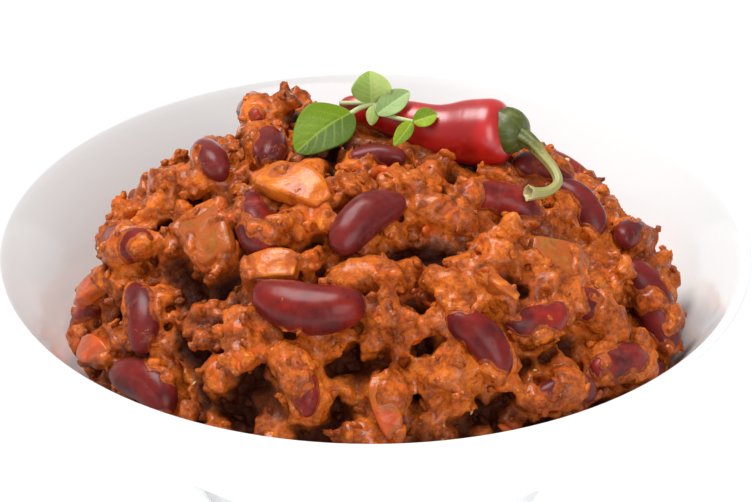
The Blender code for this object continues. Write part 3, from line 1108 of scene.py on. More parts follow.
@dataclass
class Bowl:
    """The turned porcelain bowl: a straight rising wall, a round lip and a foot ring."""

    rim_radius: float = 70 * MM
    rim_height: float = 50 * MM
    lip_radius: float = 1.1 * MM
    floor_height: float = 6 * MM
    wall_at_lip: float = 2.2 * MM
    wall_at_foot: float = 4.0 * MM
    slope: float = math.radians(57.5)
    straight: float = 26 * MM
    floor_reach: float = 40 * MM
    foot_radius: float = 34 * MM
    foot_width: float = 3.5 * MM
    foot_recess: float = 2 * MM
    foot_edge: float = 0.5 * MM
    sides: int = 144
    wall_steps: int = 40
    lip_steps: int = 10

    def _wall(self, thickness: Callable[[float], float]) -> list[tuple[float, float]]:
        """Points from the middle of the floor to the lip.

        Args:
            thickness: How far outside the inner face, from the share of the way.

        Returns:
            Radius and height pairs.
        """
        lip = (self.rim_radius - self.lip_radius, self.rim_height - self.lip_radius)
        top = (lip[0] - self.lip_radius * math.sin(self.slope), lip[1] + self.lip_radius * math.cos(self.slope))
        knee = (top[0] - self.straight * math.cos(self.slope), top[1] - self.straight * math.sin(self.slope))
        curve = np.array(((0, self.floor_height), (self.floor_reach, self.floor_height), knee, top))

        def at(share: float) -> np.ndarray:
            """The curve's point at a share of the way."""
            weights = ((1 - share) ** 3, 3 * (1 - share) ** 2 * share, 3 * (1 - share) * share**2, share**3)
            return np.asarray(weights) @ curve

        made = []
        for step in range(self.wall_steps + 1):
            share = step / self.wall_steps
            run, rise = at(min(share + 0.01, 1)) - at(max(share - 0.01, 0))
            length = math.hypot(run, rise)
            radius, height = at(share)
            depth = thickness(share)
            made.append((max(radius + depth * rise / length, 0), height - depth * run / length))
        made[0] = (0, made[0][1])
        return made

    def inner_face(self) -> list[tuple[float, float]]:
        """Radius and height pairs of the inner face, from the floor's middle to the lip."""
        return self._wall(lambda share: 0)

    def _profile(self) -> list[tuple[float, float]]:
        """The whole section, from the floor's middle over the lip to the foot's middle.

        Returns:
            Radius and height pairs.
        """
        inside = self.inner_face()
        outside = self._wall(lambda share: self.wall_at_foot + (self.wall_at_lip - self.wall_at_foot) * share)
        outside = [point for point in reversed(outside) if point[0] > self.foot_radius + MM]
        lip = []
        for step in range(1, self.lip_steps):
            angle = math.pi / 2 + self.slope - math.pi * step / self.lip_steps
            run, rise = self.lip_radius * math.cos(angle), self.lip_radius * math.sin(angle)
            lip.append((self.rim_radius - self.lip_radius + run, self.rim_height - self.lip_radius + rise))
        inner = self.foot_radius - self.foot_width
        foot = [
            (self.foot_radius + self.foot_edge, self.foot_recess + self.foot_edge),
            (self.foot_radius, self.foot_recess),
            (self.foot_radius - 0.1 * MM, self.foot_edge),
            (self.foot_radius - 0.2 * MM, 0.15 * MM),
            (self.foot_radius - self.foot_edge, 0),
            (inner, 0),
            (inner - 0.3 * MM, 0.15 * MM),
            (inner - self.foot_edge, self.foot_recess),
            (0, self.foot_recess),
        ]
        return inside + lip + outside + foot

    def build(self, finish: bpy.types.Material) -> bpy.types.Object:
        """Turns the bowl.

        Args:
            finish: The glaze.

        Returns:
            The bowl.
        """
        section = [(radius, 0, height) for radius, height in self._profile()]
        mesh = bpy.data.meshes.new("white_bowl")
        mesh.from_pydata(section, [(i, i + 1) for i in range(len(section) - 1)], [])
        obj = new_object("white_bowl", mesh, finish)
        sides, weld = self.sides, 0.01 * MM
        modify(obj, "SCREW", steps=sides, render_steps=sides, use_merge_vertices=True, merge_threshold=weld)
        obj.data.shade_smooth()
        obj.data.set_sharp_from_angle(angle=math.radians(50))
        return publish(obj, "porcelain", "bowl")


# ---------------------------------------------------------------- lumps to scatter


class LumpKind(Enum):
    """What a scattered shape stands for."""

    CRUMB = "crumb"
    CLOD = "clod"
    SKIN = "skin"
    SEED = "seed"


@dataclass
class Lumps:
    """Shapes of minced meat, vegetable skin and seeds that are scattered over the heap."""

    seed: int = 11
    clod_rise: float = 0.28
    clod_bumps: tuple[int, int] = (12, 18)
    bump_reach: tuple[float, float] = (0.52, 0.76)
    bump_size: tuple[float, float] = (0.20, 0.34)
    skin_curl: float = 0.25

    def __post_init__(self) -> None:
        """Starts the random draws."""
        self.random = random.Random(self.seed)

    def _ball(self, mesh: bmesh.types.BMesh, place: Vector, size: Vector, rough: float, detail: int) -> None:
        """Adds one rough ball.

        Args:
            mesh: What it is added to.
            place: Its middle.
            size: Its half sizes.
            rough: How uneven it is, as a share of its size.
            detail: How finely it is divided.
        """
        made = bmesh.ops.create_icosphere(mesh, subdivisions=detail, radius=1)["verts"]
        angle = self.random.uniform(0, 2 * math.pi)
        turn = Matrix.Rotation(angle, 3, Vector([self.random.gauss(0, 1) for _ in range(3)]))
        shift = Vector([self.random.uniform(-50, 50) for _ in range(3)])
        for vertex in made:
            swell = 1 + rough * noise.noise(vertex.co * 1.3 + shift)
            vertex.co = place + turn @ Vector([v * s for v, s in zip(vertex.co * swell, size)])

    def _shape(self, kind: LumpKind) -> bmesh.types.BMesh:
        """One shape of a kind, in units of its usual size.

        Args:
            kind: The kind of shape.

        Returns:
            The shape.
        """
        mesh = bmesh.new()
        draw, bell = self.random.uniform, self.random.gauss
        if kind is LumpKind.CRUMB:
            self._ball(mesh, Vector((0, 0, 0.05)), Vector((1, draw(0.65, 0.9), draw(0.55, 0.8))), 1.0, 2)
        elif kind is LumpKind.CLOD:
            self._ball(mesh, Vector((0, 0, self.clod_rise)), Vector((0.74, draw(0.55, 0.74), 0.64)), 0.7, 3)
            for _ in range(self.random.randint(*self.clod_bumps)):
                out = Vector((bell(0, 1), bell(0, 1), abs(bell(0, 1)))).normalized()
                reach = draw(*self.bump_reach)
                size = draw(*self.bump_size)
                half = Vector((size, size * draw(0.65, 0.95), size * draw(0.6, 0.9)))
                place = Vector((out.x * reach, out.y * reach, self.clod_rise + out.z * reach))
                self._ball(mesh, place, half, 1.0, 2)
        elif kind is LumpKind.SKIN:
            self._ball(mesh, Vector((0, 0, 0.15)), Vector((1, draw(0.5, 0.8), draw(0.25, 0.4))), 0.7, 2)
            for vertex in mesh.verts:
                vertex.co.z -= self.skin_curl * vertex.co.x**2
        else:
            self._ball(mesh, Vector((0, 0, 0.1)), Vector((1, 0.72, 0.4)), 0.15, 1)
        return mesh

    def collection(self, kind: LumpKind, count: int) -> bpy.types.Collection:
        """A collection of shapes of one kind, out of the scene.

        Args:
            kind: The kind of shape.
            count: How many shapes to make.

        Returns:
            The collection.
        """
        home = bpy.data.collections.new(f"{kind.value} shapes")
        for i in range(count):
            name = f"{kind.value}_{i}"
            home.objects.link(bpy.data.objects.new(name, to_mesh(self._shape(kind), name)))
        return home


def drop_collection(home: bpy.types.Collection) -> None:
    """Removes a collection and the objects in it.

    Args:
        home: The collection.
    """
    for obj in list(home.objects):
        bpy.data.objects.remove(obj)
    bpy.data.collections.remove(home)


# ---------------------------------------------------------------- heap


@dataclass(frozen=True)
class Layer:
    """One round of meat scattered over the core. Sizes in millimetres."""

    kind: LumpKind
    spacing: float
    smallest: float
    largest: float
    clear: float
    seed: int


@dataclass
class Heap:
    """The heap of minced meat in sauce, over a core a little smaller than the node."""

    node: str = "chili_mound"
    core_voxel: float = 1.1 * MM
    voxel: float = 0.62 * MM
    sunk: float = 6.2 * MM
    bottom: float = 20 * MM
    visible_from: float = 26 * MM
    triangles: int = 190_000
    shapes: tuple[tuple[LumpKind, int], ...] = ((LumpKind.CLOD, 12), (LumpKind.CRUMB, 8))
    layers: tuple[Layer, ...] = (
        Layer(LumpKind.CLOD, 10.0, 5.4, 7.6, 3.6, 4),
        Layer(LumpKind.CLOD, 7.0, 1.9, 3.2, 2.0, 5),
        Layer(LumpKind.CRUMB, 3.0, 0.9, 1.6, 1.4, 9),
    )
    grain: tuple[tuple[float, float, float], ...] = (
        (3.0 * MM, 0.40 * MM, 0.0),
        (1.5 * MM, 0.38 * MM, 5.0),
        (0.9 * MM, 0.20 * MM, 8.0),
    )
    top_from: float = 56 * MM
    top_reach: float = 36 * MM
    under_leaf: float = 0.7 * MM
    ceiling: float = 74.5 * MM
    ceiling_fall: float = 0.6
    ceiling_soft: float = 3.5 * MM

    def _core(self, tree: BVHTree) -> bpy.types.Object:
        """The core: the node's solid, evenly meshed and drawn in between the pieces.

        Args:
            tree: The pieces set in the heap.

        Returns:
            The core.
        """
        core = new_object("chili_heap", to_mesh(node_copy(self.node, quads=False), "chili_heap"))
        modify(core, "REMESH", mode="VOXEL", voxel_size=self.core_voxel)
        points, normals = points_of(core.data), normals_of(core.data)
        share = 0.35 + 0.65 * ease(gaps_to(tree, points), 0.8 * MM, 4.5 * MM)
        draw_in = self.sunk * share * ease(points[:, 2], self.visible_from, self.visible_from + 5 * MM)
        set_points(core.data, points - normals * draw_in[:, None])
        return core

    def _film(self, piece: bpy.types.Object, cover: float, tree: BVHTree) -> bpy.types.Mesh:
        """Patches of thick sauce that cling to a piece.

        Args:
            piece: The piece.
            cover: The share of it that is covered, more of it near the heap.
            tree: The core's surface.

        Returns:
            A closed mesh that stands out of the piece where there is sauce and lies inside it elsewhere.
        """
        mesh = piece.data.copy()
        points, normals = points_of(mesh), normals_of(mesh)
        near = 1 - ease(gaps_to(tree, points), 1 * MM, 6 * MM)
        level = noise_at(points, 5.5 * MM, 1.3) + 0.45 * noise_at(points, 2.2 * MM, 6.1) + 0.35 * near
        patch = ease(level, 0.50 - 0.95 * cover, 0.66 - 0.95 * cover)
        lumpy = 0.75 * MM + 0.5 * MM * noise_at(points, 1.7 * MM, 3.3)
        set_points(mesh, points + normals * (patch * lumpy - (1 - patch) * 1.1 * MM)[:, None])
        return mesh

    def _close_bottom(self, obj: bpy.types.Object) -> None:
        """Cuts off what lies deep in the bowl and closes the cut.

        Args:
            obj: The heap.
        """
        mesh = bmesh.new()
        mesh.from_mesh(obj.data)
        everything = mesh.verts[:] + mesh.edges[:] + mesh.faces[:]
        cut = bmesh.ops.bisect_plane(
            mesh, geom=everything, dist=WELD, plane_co=(0, 0, self.bottom), plane_no=(0, 0, 1), clear_inner=True
        )
        edges = [item for item in cut["geom_cut"] if isinstance(item, bmesh.types.BMEdge)]
        bmesh.ops.holes_fill(mesh, edges=edges, sides=0)
        mesh.to_mesh(obj.data)
        mesh.free()

    def _under_leaves(self, points: np.ndarray, leaves: BVHTree) -> None:
        """Lowers the points under and near the leaves and the pod.

        Args:
            points: One row for each point, changed in place.
            leaves: The leaves and the pod that lie on the heap.
        """
        solid = surface_tree(bpy.data.objects[self.node])
        for point in points:
            if point[2] < self.top_from or math.hypot(point[0], point[1]) > self.top_reach:
                continue
            above = Vector((point[0], point[1], 0.1))
            gap = leaves.find_nearest(Vector(point))[3]
            ground = solid.ray_cast(above, -UP)[0]
            if ground is not None:
                point[2] = min(point[2], ground.z + 0.3 * MM + 8 * MM * float(ease(gap, 3 * MM, 9 * MM)))
            leaf = leaves.ray_cast(above, -UP)[0]
            if leaf is not None:
                point[2] = min(point[2], leaf.z - self.under_leaf)

    def _behind_pod(self, points: np.ndarray) -> None:
        """Flattens softly what would rise above the pod from behind it.

        Args:
            points: One row for each point, changed in place.
        """
        behind = (points[:, 1] > 1 * MM) & (points[:, 2] > 48 * MM)
        window = ease(points[:, 0], -14 * MM, -8 * MM) * (1 - ease(points[:, 0], 28 * MM, 34 * MM))
        ceiling = self.ceiling - self.ceiling_fall * (points[:, 1] - 1 * MM) + 12 * MM * (1 - window)
        ceiling += 1.5 * MM * noise_at(points, 5 * MM, 2.5)
        excess = np.maximum(points[:, 2] - ceiling + self.ceiling_soft, 0)
        flattened = ceiling - self.ceiling_soft * np.exp(-excess / self.ceiling_soft)
        points[:, 2] = np.where(behind & (excess > 0), flattened, points[:, 2])

    @staticmethod
    def _inside_wall(points: np.ndarray, wall: Sequence[tuple[float, float]]) -> None:
        """Keeps the points inside the bowl.

        Args:
            points: One row for each point, changed in place.
            wall: Radius and height pairs of the bowl's inner face.
        """
        radii, heights = zip(*wall)
        reach = np.hypot(points[:, 0], points[:, 1])
        limit = np.where(points[:, 2] < heights[-1], np.interp(points[:, 2], heights, radii) + 0.15 * MM, 1)
        points[:, :2] *= np.minimum(limit / np.maximum(reach, MM), 1)[:, None]

    def _store_depth(self, mesh: bpy.types.Mesh) -> None:
        """Stores how deep each point lies in the gaps between the clods, from 0 to 1; the sauce's colour is darkened
        by it as painted shade.

        Args:
            mesh: The heap's mesh.
        """
        tree = surface_tree(bpy.data.objects[self.node])
        depths = []
        for point in points_of(mesh):
            place, normal, _, gap = tree.find_nearest(Vector(point))
            depths.append(gap if normal.dot(Vector(point) - place) < 0 else 0)
        set_attribute(mesh, "deep", ease(np.array(depths), 1.1 * MM, 4.2 * MM))

    def _scatter(self, heap: bpy.types.Object, obstacles: bpy.types.Object, finish: bpy.types.Material) -> None:
        """Scatters clods and crumbs of meat over the core.

        Args:
            heap: The core, which stays in the result.
            obstacles: The pieces that the meat keeps clear of.
            finish: Meat in sauce.
        """
        lumps = Lumps()
        homes = {kind: lumps.collection(kind, count) for kind, count in self.shapes}
        scatter = Scatter("scatter meat", keep_surface=True)
        for layer in self.layers:
            scatter.add_to(
                heap,
                Spacing=layer.spacing * MM,
                Smallest=layer.smallest * MM,
                Largest=layer.largest * MM,
                Clear_distance=layer.clear * MM,
                Lowest=self.visible_from,
                Share_kept=1.0,
                Seed=layer.seed,
                Shapes=homes[layer.kind],
                Pieces=obstacles,
                Finish=finish,
            )
        apply_modifiers(heap)
        for home in homes.values():
            drop_collection(home)

    def build(
        self,
        finish: bpy.types.Material,
        pieces: dict[str, bpy.types.Object],
        covers: dict[str, float],
        leaves: BVHTree,
        wall: Sequence[tuple[float, float]],
    ) -> bpy.types.Object:
        """Makes the heap.

        Args:
            finish: Meat in sauce.
            pieces: The finished pieces set in the heap or lying on it, by node.
            covers: The share of each that sauce covers.
            leaves: The leaves that lie on the heap.
            wall: Radius and height pairs of the bowl's inner face.

        Returns:
            The heap.
        """
        obstacles = merged("set_in_pieces", [piece.data for piece in pieces.values()])
        heap = self._core(surface_tree(obstacles))
        core_tree = surface_tree(heap)
        films = [self._film(piece, covers[node], core_tree) for node, piece in pieces.items() if node in covers]
        self._scatter(heap, obstacles, finish)
        bpy.data.objects.remove(obstacles)
        whole = merged("heap_with_films", [heap.data, *films])
        heap.data = whole.data
        bpy.data.objects.remove(whole)
        modify(heap, "REMESH", mode="VOXEL", voxel_size=self.voxel)
        modify(heap, "SMOOTH", factor=0.5, iterations=1)
        self._close_bottom(heap)
        modify(heap, "DECIMATE", ratio=min(self.triangles / (2 * len(heap.data.polygons)), 1))
        roughen(heap.data, *self.grain)
        self._store_depth(heap.data)
        points = points_of(heap.data)
        self._under_leaves(points, leaves)
        self._behind_pod(points)
        self._inside_wall(points, wall)
        set_points(heap.data, points)
        heap.data.materials.clear()
        heap.data.materials.append(finish)
        heap.data.shade_smooth()
        return publish(heap, "sauce", self.node)


@dataclass
class Scraps:
    """Small loose things on the heap: one piece for each kind. Sizes in millimetres."""

    name: str
    kind: LumpKind
    slot: str
    spacing: float
    smallest: float
    largest: float
    share: float
    seed: int
    shapes: int = 6
    clear: float = 1.2
    lowest: float = 30

    def build(
        self, heap: bpy.types.Object, finish: bpy.types.Material, around: Iterable[bpy.types.Object]
    ) -> bpy.types.Object:
        """Scatters them over the heap.

        Args:
            heap: What they lie on.
            finish: Their finish.
            around: The pieces that they keep clear of.

        Returns:
            The scattered things, as one piece.
        """
        pieces = merged("around", [piece.data for piece in around])
        obj = new_object(self.name, heap.data.copy(), finish)
        shapes = Lumps(self.seed).collection(self.kind, self.shapes)
        Scatter(f"scatter {self.kind.value}", keep_surface=False).add_to(
            obj,
            Spacing=self.spacing * MM,
            Smallest=self.smallest * MM,
            Largest=self.largest * MM,
            Clear_distance=self.clear * MM,
            Lowest=self.lowest * MM,
            Share_kept=self.share,
            Seed=self.seed,
            Shapes=shapes,
            Pieces=pieces,
            Finish=finish,
        )
        apply_modifiers(obj)
        bpy.data.objects.remove(pieces)
        drop_collection(shapes)
        obj.data.shade_smooth()
        return publish(obj, self.slot)


# ---------------------------------------------------------------- set-in pieces


def coat_near(obj: bpy.types.Object, tree: BVHTree, cover: float) -> None:
    """Stores how much sauce smears each point.

    Args:
        obj: The piece.
        tree: The heap's surface.
        cover: The share of the piece that sauce covers.
    """
    gaps = gaps_to(tree, points_of(obj.data))
    set_attribute(obj.data, "coat", 1 - ease(gaps, 0.1 * MM, 0.95 * MM) + 0.6 * max(cover, 0))


@dataclass
class SetIn(ABC):
    """Pieces set in the heap, each rounded from its node's own solid."""

    starts: str
    renamed: tuple[str, str]
    slot: str
    swell: float
    crease: float = 0
    levels: int = 3

    @abstractmethod
    def rough(self, index: int) -> tuple[tuple[float, float, float], ...]:
        """The layers of unevenness of the piece with this number."""

    def build(self, finishes: Sequence[bpy.types.Material]) -> dict[str, bpy.types.Object]:
        """Makes every piece.

        Args:
            finishes: Finishes, used in turn.

        Returns:
            The pieces by node.
        """
        made = {}
        for i, node in enumerate(sorted(name for name in frame["nodes"] if name.startswith(self.starts))):
            cage = swollen(node_copy(node), self.swell)
            bmesh.ops.translate(cage, verts=cage.verts, vec=(0, 0, -LOWERED.get(node, 0) * MM))
            name = node.replace(*self.renamed)
            piece = subdivided(name, cage, self.levels, finishes[i % len(finishes)], self.crease)
            roughen(piece.data, *self.rough(i))
            made[node] = publish(piece, self.slot, node)
        return made


class Beans(SetIn):
    """The kidney beans, with smooth skins."""

    def __init__(self) -> None:
        """Sets the beans' names and shape."""
        super().__init__("kidney_bean", ("kidney_bean", "bean_skin"), "bean_skin", swell=1.05)

    def rough(self, index: int) -> tuple[tuple[float, float, float], ...]:
        """A little unevenness, of its own for each bean."""
        return (6 * MM, 0.35 * MM, index * 1.7), (2.2 * MM, 0.10 * MM, index * 0.9)


class Cuts(SetIn):
    """Cut vegetables of one kind, with firm edges."""

    def __init__(self, kind: str) -> None:
        """Sets the cuts' names and shape.

        Args:
            kind: The vegetable.
        """
        super().__init__(f"{kind}_piece", ("_piece", "_cut"), kind, swell=1.06, crease=0.62)

    def rough(self, index: int) -> tuple[tuple[float, float, float], ...]:
        """The unevenness of cooked flesh."""
        return (3.5 * MM, 0.40 * MM, 3.1), (1.4 * MM, 0.12 * MM, 7.7)


# ---------------------------------------------------------------- red chilli


@dataclass
class Chilli:
    """The red chilli: its pod, and its calyx with the hooked stalk."""

    axis: tuple[Point, ...] = (
        (24.4, -4.8, 74.1),
        (17.7, -2.4, 72.4),
        (12.1, -0.9, 72.0),
        (5.6, 1.4, 73.0),
        (-5.8, 5.5, 74.3),
    )
    shares: tuple[float, ...] = (0.0, 0.30, 0.50, 0.70, 1.0)
    outward: Point = (9.4, -7.8, 1.5)
    radius: float = 6.2 * MM
    steps: int = 24
    sides: int = 72
    calyx_radius: float = 4.2 * MM
    calyx_height: float = 3.4 * MM
    calyx_sides: int = 80
    calyx_rows: int = 16
    teeth: int = 5
    stalk: tuple[Point, ...] = (
        (28.6, -8.8, 73.5),
        (30.0, -10.3, 72.4),
        (31.9, -12.5, 70.9),
        (32.8, -14.6, 69.8),
        (32.4, -16.3, 69.2),
        (30.7, -18.0, 68.9),
        (28.7, -19.5, 69.4),
        (27.3, -20.3, 69.9),
    )
    stalk_radii: tuple[float, ...] = (1.25, 1.0, 0.86, 0.82, 0.82, 0.86, 1.0, 1.4)
    stalk_base: float = 1.9
    stalk_sides: int = 36
    stalk_steps: int = 9
    stalk_ribs: int = 6

    def _width(self, share: float) -> float:
        """The pod's radius as a share of its widest.

        Args:
            share: The share of the way from the shoulder to the tip.

        Returns:
            The share of the widest radius.
        """
        shoulder = math.sqrt(max(1 - 0.72 * (1 - min(share / 0.17, 1)) ** 2.3, 0))
        past = share - 0.3
        body = 1 - 0.50 * (math.hypot(past, 0.055) + past)
        tip = math.sqrt(max(1 - (max(share - 0.88, 0) / 0.121) ** 2, 0))
        return shoulder * body * tip

    def _pod(self, finish: bpy.types.Material) -> bpy.types.Object:
        """The pod, with a slightly uneven skin.

        Args:
            finish: The skin.

        Returns:
            The pod.
        """
        curve = spline([Vector(point) * MM for point in self.axis], self.shares, self.steps)
        path = [(point, self.radius * max(self._width(share), 0.02)) for point, share in curve]

        def uneven(angle: float, share: float) -> float:
            """Three shallow lobes that are deepest at the shoulder."""
            return 1 + 0.022 * math.cos(3 * angle + 0.6) * (1 - share) + 0.012 * math.sin(2 * angle + 5 * share)

        pod = new_object("red_chilli_pod", ring_mesh("red_chilli_pod", tube_rings(path, self.sides, uneven)), finish)
        roughen(pod.data, (7 * MM, 0.20 * MM, 4.0))
        return publish(pod, "chilli_skin", "chilli_pod")

    def _calyx(self, centre: Vector, outward: Vector) -> bpy.types.Mesh:
        """The calyx: a ribbed cap with short teeth, closed underneath.

        Args:
            centre: The middle of the pod's shoulder.
            outward: The way that it faces.

        Returns:
            The calyx.
        """
        across = outward.orthogonal().normalized()
        other = outward.cross(across)
        sides, rows = self.calyx_sides, self.calyx_rows
        rings, along, ribs = [], [], []
        for row in range(rows + 1):
            share = row / rows
            profile = math.sqrt(max(1 - (0.93 * share) ** 2.2, 0))
            ring, rib_row = [], []
            for side in range(sides):
                angle = 2 * math.pi * side / sides
                tooth = max(math.cos(self.teeth * angle), 0) ** 1.5
                rib = max(math.cos(2 * self.teeth * angle), 0) ** 2
                rise = share**0.8 * self.calyx_height - (1 - share) ** 1.6 * (0.5 + 1.1 * tooth) * MM
                reach = self.calyx_radius * profile * (1 + 0.035 * rib * (1 - share))
                reach += 0.25 * MM * tooth * (1 - share) ** 2
                ring.append(centre + outward * rise + (across * math.cos(angle) + other * math.sin(angle)) * reach)
                rib_row.append(rib * (0.25 + 0.5 * share))
            rings.append(ring)
            along.append([0.10 * share] * sides)
            ribs.append(rib_row)
        inner = [centre + outward * 0.3 * MM + (point - centre) * 0.9 for point in rings[0]]
        return ring_mesh("calyx", [inner, *rings], {"along": [along[0], *along], "rib": [ribs[0], *ribs]})

    def _stem(self, centre: Vector, outward: Vector) -> bpy.types.Mesh:
        """The ribbed stalk, flared where it was cut and slightly hollow at the end.

        Args:
            centre: The middle of the pod's shoulder.
            outward: The way that the calyx faces.

        Returns:
            The stalk.
        """
        start = centre + outward * self.calyx_height * 0.55
        points = [start] + [Vector(point) * MM for point in self.stalk]
        radii = [radius * MM for radius in (self.stalk_base, *self.stalk_radii)]
        path = spline(points, radii, self.stalk_steps)
        count, sides = len(path), self.stalk_sides

        def ribbed(angle: float, share: float) -> float:
            """Ribs along the stalk, and a ragged end."""
            ragged = 0.10 * math.sin(5 * angle + 1) * ease(share, 0.93, 1.0)
            return 1 + 0.085 * math.cos(self.stalk_ribs * angle + 3 * share) + float(ragged)

        rings = tube_rings(path, sides, ribbed)
        last, before = path[-1][0], path[-2][0]
        inward = (before - last).normalized()
        for scale, depth in ((0.86, 0.02), (0.7, 0.45), (0.35, 0.7)):
            rings.append([last + (point - last) * scale + inward * depth * MM for point in rings[count - 1]])
        along, ribs = [], []
        for i in range(len(rings)):
            along.append([0.12 + 0.88 * min(i / (count - 1), 1)] * sides)
            turns = [self.stalk_ribs * 2 * math.pi * side / sides for side in range(sides)]
            ribs.append([0.5 + 0.5 * math.cos(turn + 3 * i / count) for turn in turns])
        return ring_mesh("stem", rings, {"along": along, "rib": ribs})

    def build(self, skin: bpy.types.Material, green: bpy.types.Material) -> dict[str, bpy.types.Object]:
        """Makes the chilli.

        Args:
            skin: The pod's finish.
            green: The calyx's and the stalk's finish.

        Returns:
            The pod and the stalk by node.
        """
        pod = self._pod(skin)
        place = Vector(self.axis[0]) * MM, Vector(self.outward).normalized()
        stalk = merged("chilli_calyx_and_stalk", (self._calyx(*place), self._stem(*place)), green)
        return {"chilli_pod": pod, "chilli_stalk": publish(stalk, "chilli_stalk", "chilli_stalk")}


# ---------------------------------------------------------------- oregano


@dataclass(frozen=True)
class Leaf:
    """One leaf, from its base to its tip, with the side that it faces. Millimetres."""

    base: Point
    tip: Point
    facing: Point
    width: float
    arch: float
    fold: float
    tint: int


@dataclass
class Sprig:
    """The oregano sprig: a thin stem with opposite leaves."""

    leaves: tuple[Leaf, ...] = (
        Leaf((-3.6, -0.9, 75.7), (-13.4, -8.4, 71.9), (-0.05, -0.43, 0.90), 10.6, 0.9, 0.16, 0),
        Leaf((0.0, 1.1, 76.7), (-0.3, 2.4, 82.4), (0.1, -0.97, 0.2), 7.2, 0.5, 0.22, 1),
        Leaf((1.0, -1.3, 75.6), (6.8, 1.0, 79.0), (-0.25, -0.72, 0.65), 4.6, 0.3, 0.18, 2),
        Leaf((7.5, -4.2, 75.6), (11.7, -3.9, 76.9), (-0.1, -0.7, 0.7), 3.6, 0.3, 0.2, 3),
        Leaf((7.2, -4.2, 75.6), (4.0, -8.1, 72.9), (0.2, -0.7, 0.7), 2.8, 0.3, 0.2, 3),
        Leaf((0.4, 0.4, 76.5), (-0.1, -1.6, 73.6), (0.1, -0.8, 0.6), 2.4, 0.2, 0.15, 1),
    )
    stem: tuple[Point, ...] = (
        (-5.7, 3.2, 75.6),
        (0.1, 1.0, 76.5),
        (1.4, -0.9, 75.8),
        (4.6, -2.4, 75.4),
        (7.4, -4.2, 75.6),
    )
    petiole: tuple[Point, ...] = ((0.1, 1.0, 76.5), (-1.9, 0.1, 76.3), (-3.8, -1.0, 75.6))
    stem_radius: float = 0.42 * MM
    petiole_radius: float = 0.462 * MM
    rows: int = 44
    columns: int = 28
    thickness: float = 0.32 * MM
    midrib: float = 0.22 * MM
    branches: float = 6.5
    branch_slant: float = 0.34
    branch_width: float = 0.16
    quilt: float = 0.10 * MM

    def _vein(self, share: float, side: float, half: float) -> float:
        """How strongly a vein shows on a leaf.

        Args:
            share: The share of the way from base to tip.
            side: From -1 at one edge to 1 at the other.
            half: Half the leaf's width there.

        Returns:
            From 0 to 1.
        """
        midrib = math.exp(-((side * half / self.midrib) ** 2))
        slant = share - self.branch_slant * abs(side)
        near = abs((slant * self.branches) % 1 - 0.5) * 2
        branch = math.exp(-(((1 - near) / self.branch_width) ** 2)) * (1 - abs(side)) ** 0.5 * (slant > 0.02)
        return max(midrib, 0.75 * branch)

    def _blade(self, name: str, leaf: Leaf, finish: bpy.types.Material) -> bpy.types.Object:
        """One leaf blade.

        Args:
            name: The blade's name.
            leaf: Its place and size.
            finish: Its green.

        Returns:
            The blade.
        """
        base, tip = Vector(leaf.base) * MM, Vector(leaf.tip) * MM
        along = (tip - base).normalized()
        facing = Vector(leaf.facing)
        facing = (facing - along * facing.dot(along)).normalized()
        across = facing.cross(along)
        blade = bmesh.new()
        vein_layer, shaded_half_layer = blade.verts.layers.float.new("vein"), blade.verts.layers.float.new("side")
        rows = []
        for i in range(self.rows + 1):
            share = i / self.rows
            outline = max(math.sin(math.pi * min(share, 0.995) ** 0.92), 0) ** 0.62
            half = leaf.width * MM / 2 * max(outline, 0.02)
            middle = math.sin(math.pi * share)
            arch = leaf.arch * MM * middle - leaf.arch * 0.6 * MM * share**2
            row = []
            for j in range(self.columns + 1):
                side = 2 * j / self.columns - 1
                vein = self._vein(share, side, half)
                fold = leaf.fold * abs(side) * half
                wave = 0.06 * half * math.sin(9 * share + 2 * side) * abs(side) ** 2
                quilt = self.quilt * (1 - vein) * middle * (1 - side * side)
                point = base.lerp(tip, share) + across * half * side + facing * (fold + wave + arch + quilt)
                vertex = blade.verts.new(point)
                vertex[vein_layer] = vein
                # Painted shade: 1 on one half of the blade and 0 on the other, with a short ramp at the midrib; the
                # leaf's finish darkens the half at 1.
                vertex[shaded_half_layer] = 0.5 + 0.5 * math.copysign(min(abs(side) * 4, 1), side)
                row.append(vertex)
            rows.append(row)
        for low, high in zip(rows, rows[1:]):
            for j in range(self.columns):
                blade.faces.new((low[j], low[j + 1], high[j + 1], high[j]))
        obj = new_object(name, to_mesh(blade, name), finish)
        modify(obj, "SOLIDIFY", thickness=self.thickness, offset=0)
        return obj

    def build(self, finishes: Sequence[bpy.types.Material]) -> list[bpy.types.Object]:
        """Makes the sprig.

        Args:
            finishes: Greens for the leaves, by tint, then the stem's.

        Returns:
            The leaves.
        """
        twigs = []
        for points, radius in ((self.stem, self.stem_radius), (self.petiole, self.petiole_radius)):
            path = spline([Vector(point) * MM for point in points], [radius] * len(points), 10)
            twigs.append(ring_mesh("twig", tube_rings(path, 16)))
        publish(merged("oregano_stem", twigs, finishes[-1]), "oregano", "oregano_sprig")
        blades = [
            self._blade(f"oregano_leaf_{i}", leaf, finishes[leaf.tint]) for i, leaf in enumerate(self.leaves, 1)
        ]
        return [publish(blade, "oregano", "oregano_sprig") for blade in blades]


# ---------------------------------------------------------------- light and camera


@dataclass(frozen=True)
class Lamp:
    """A square soft light: where it hangs, its side in metres and its power in watts."""

    name: str
    place: Point
    size: float
    power: float


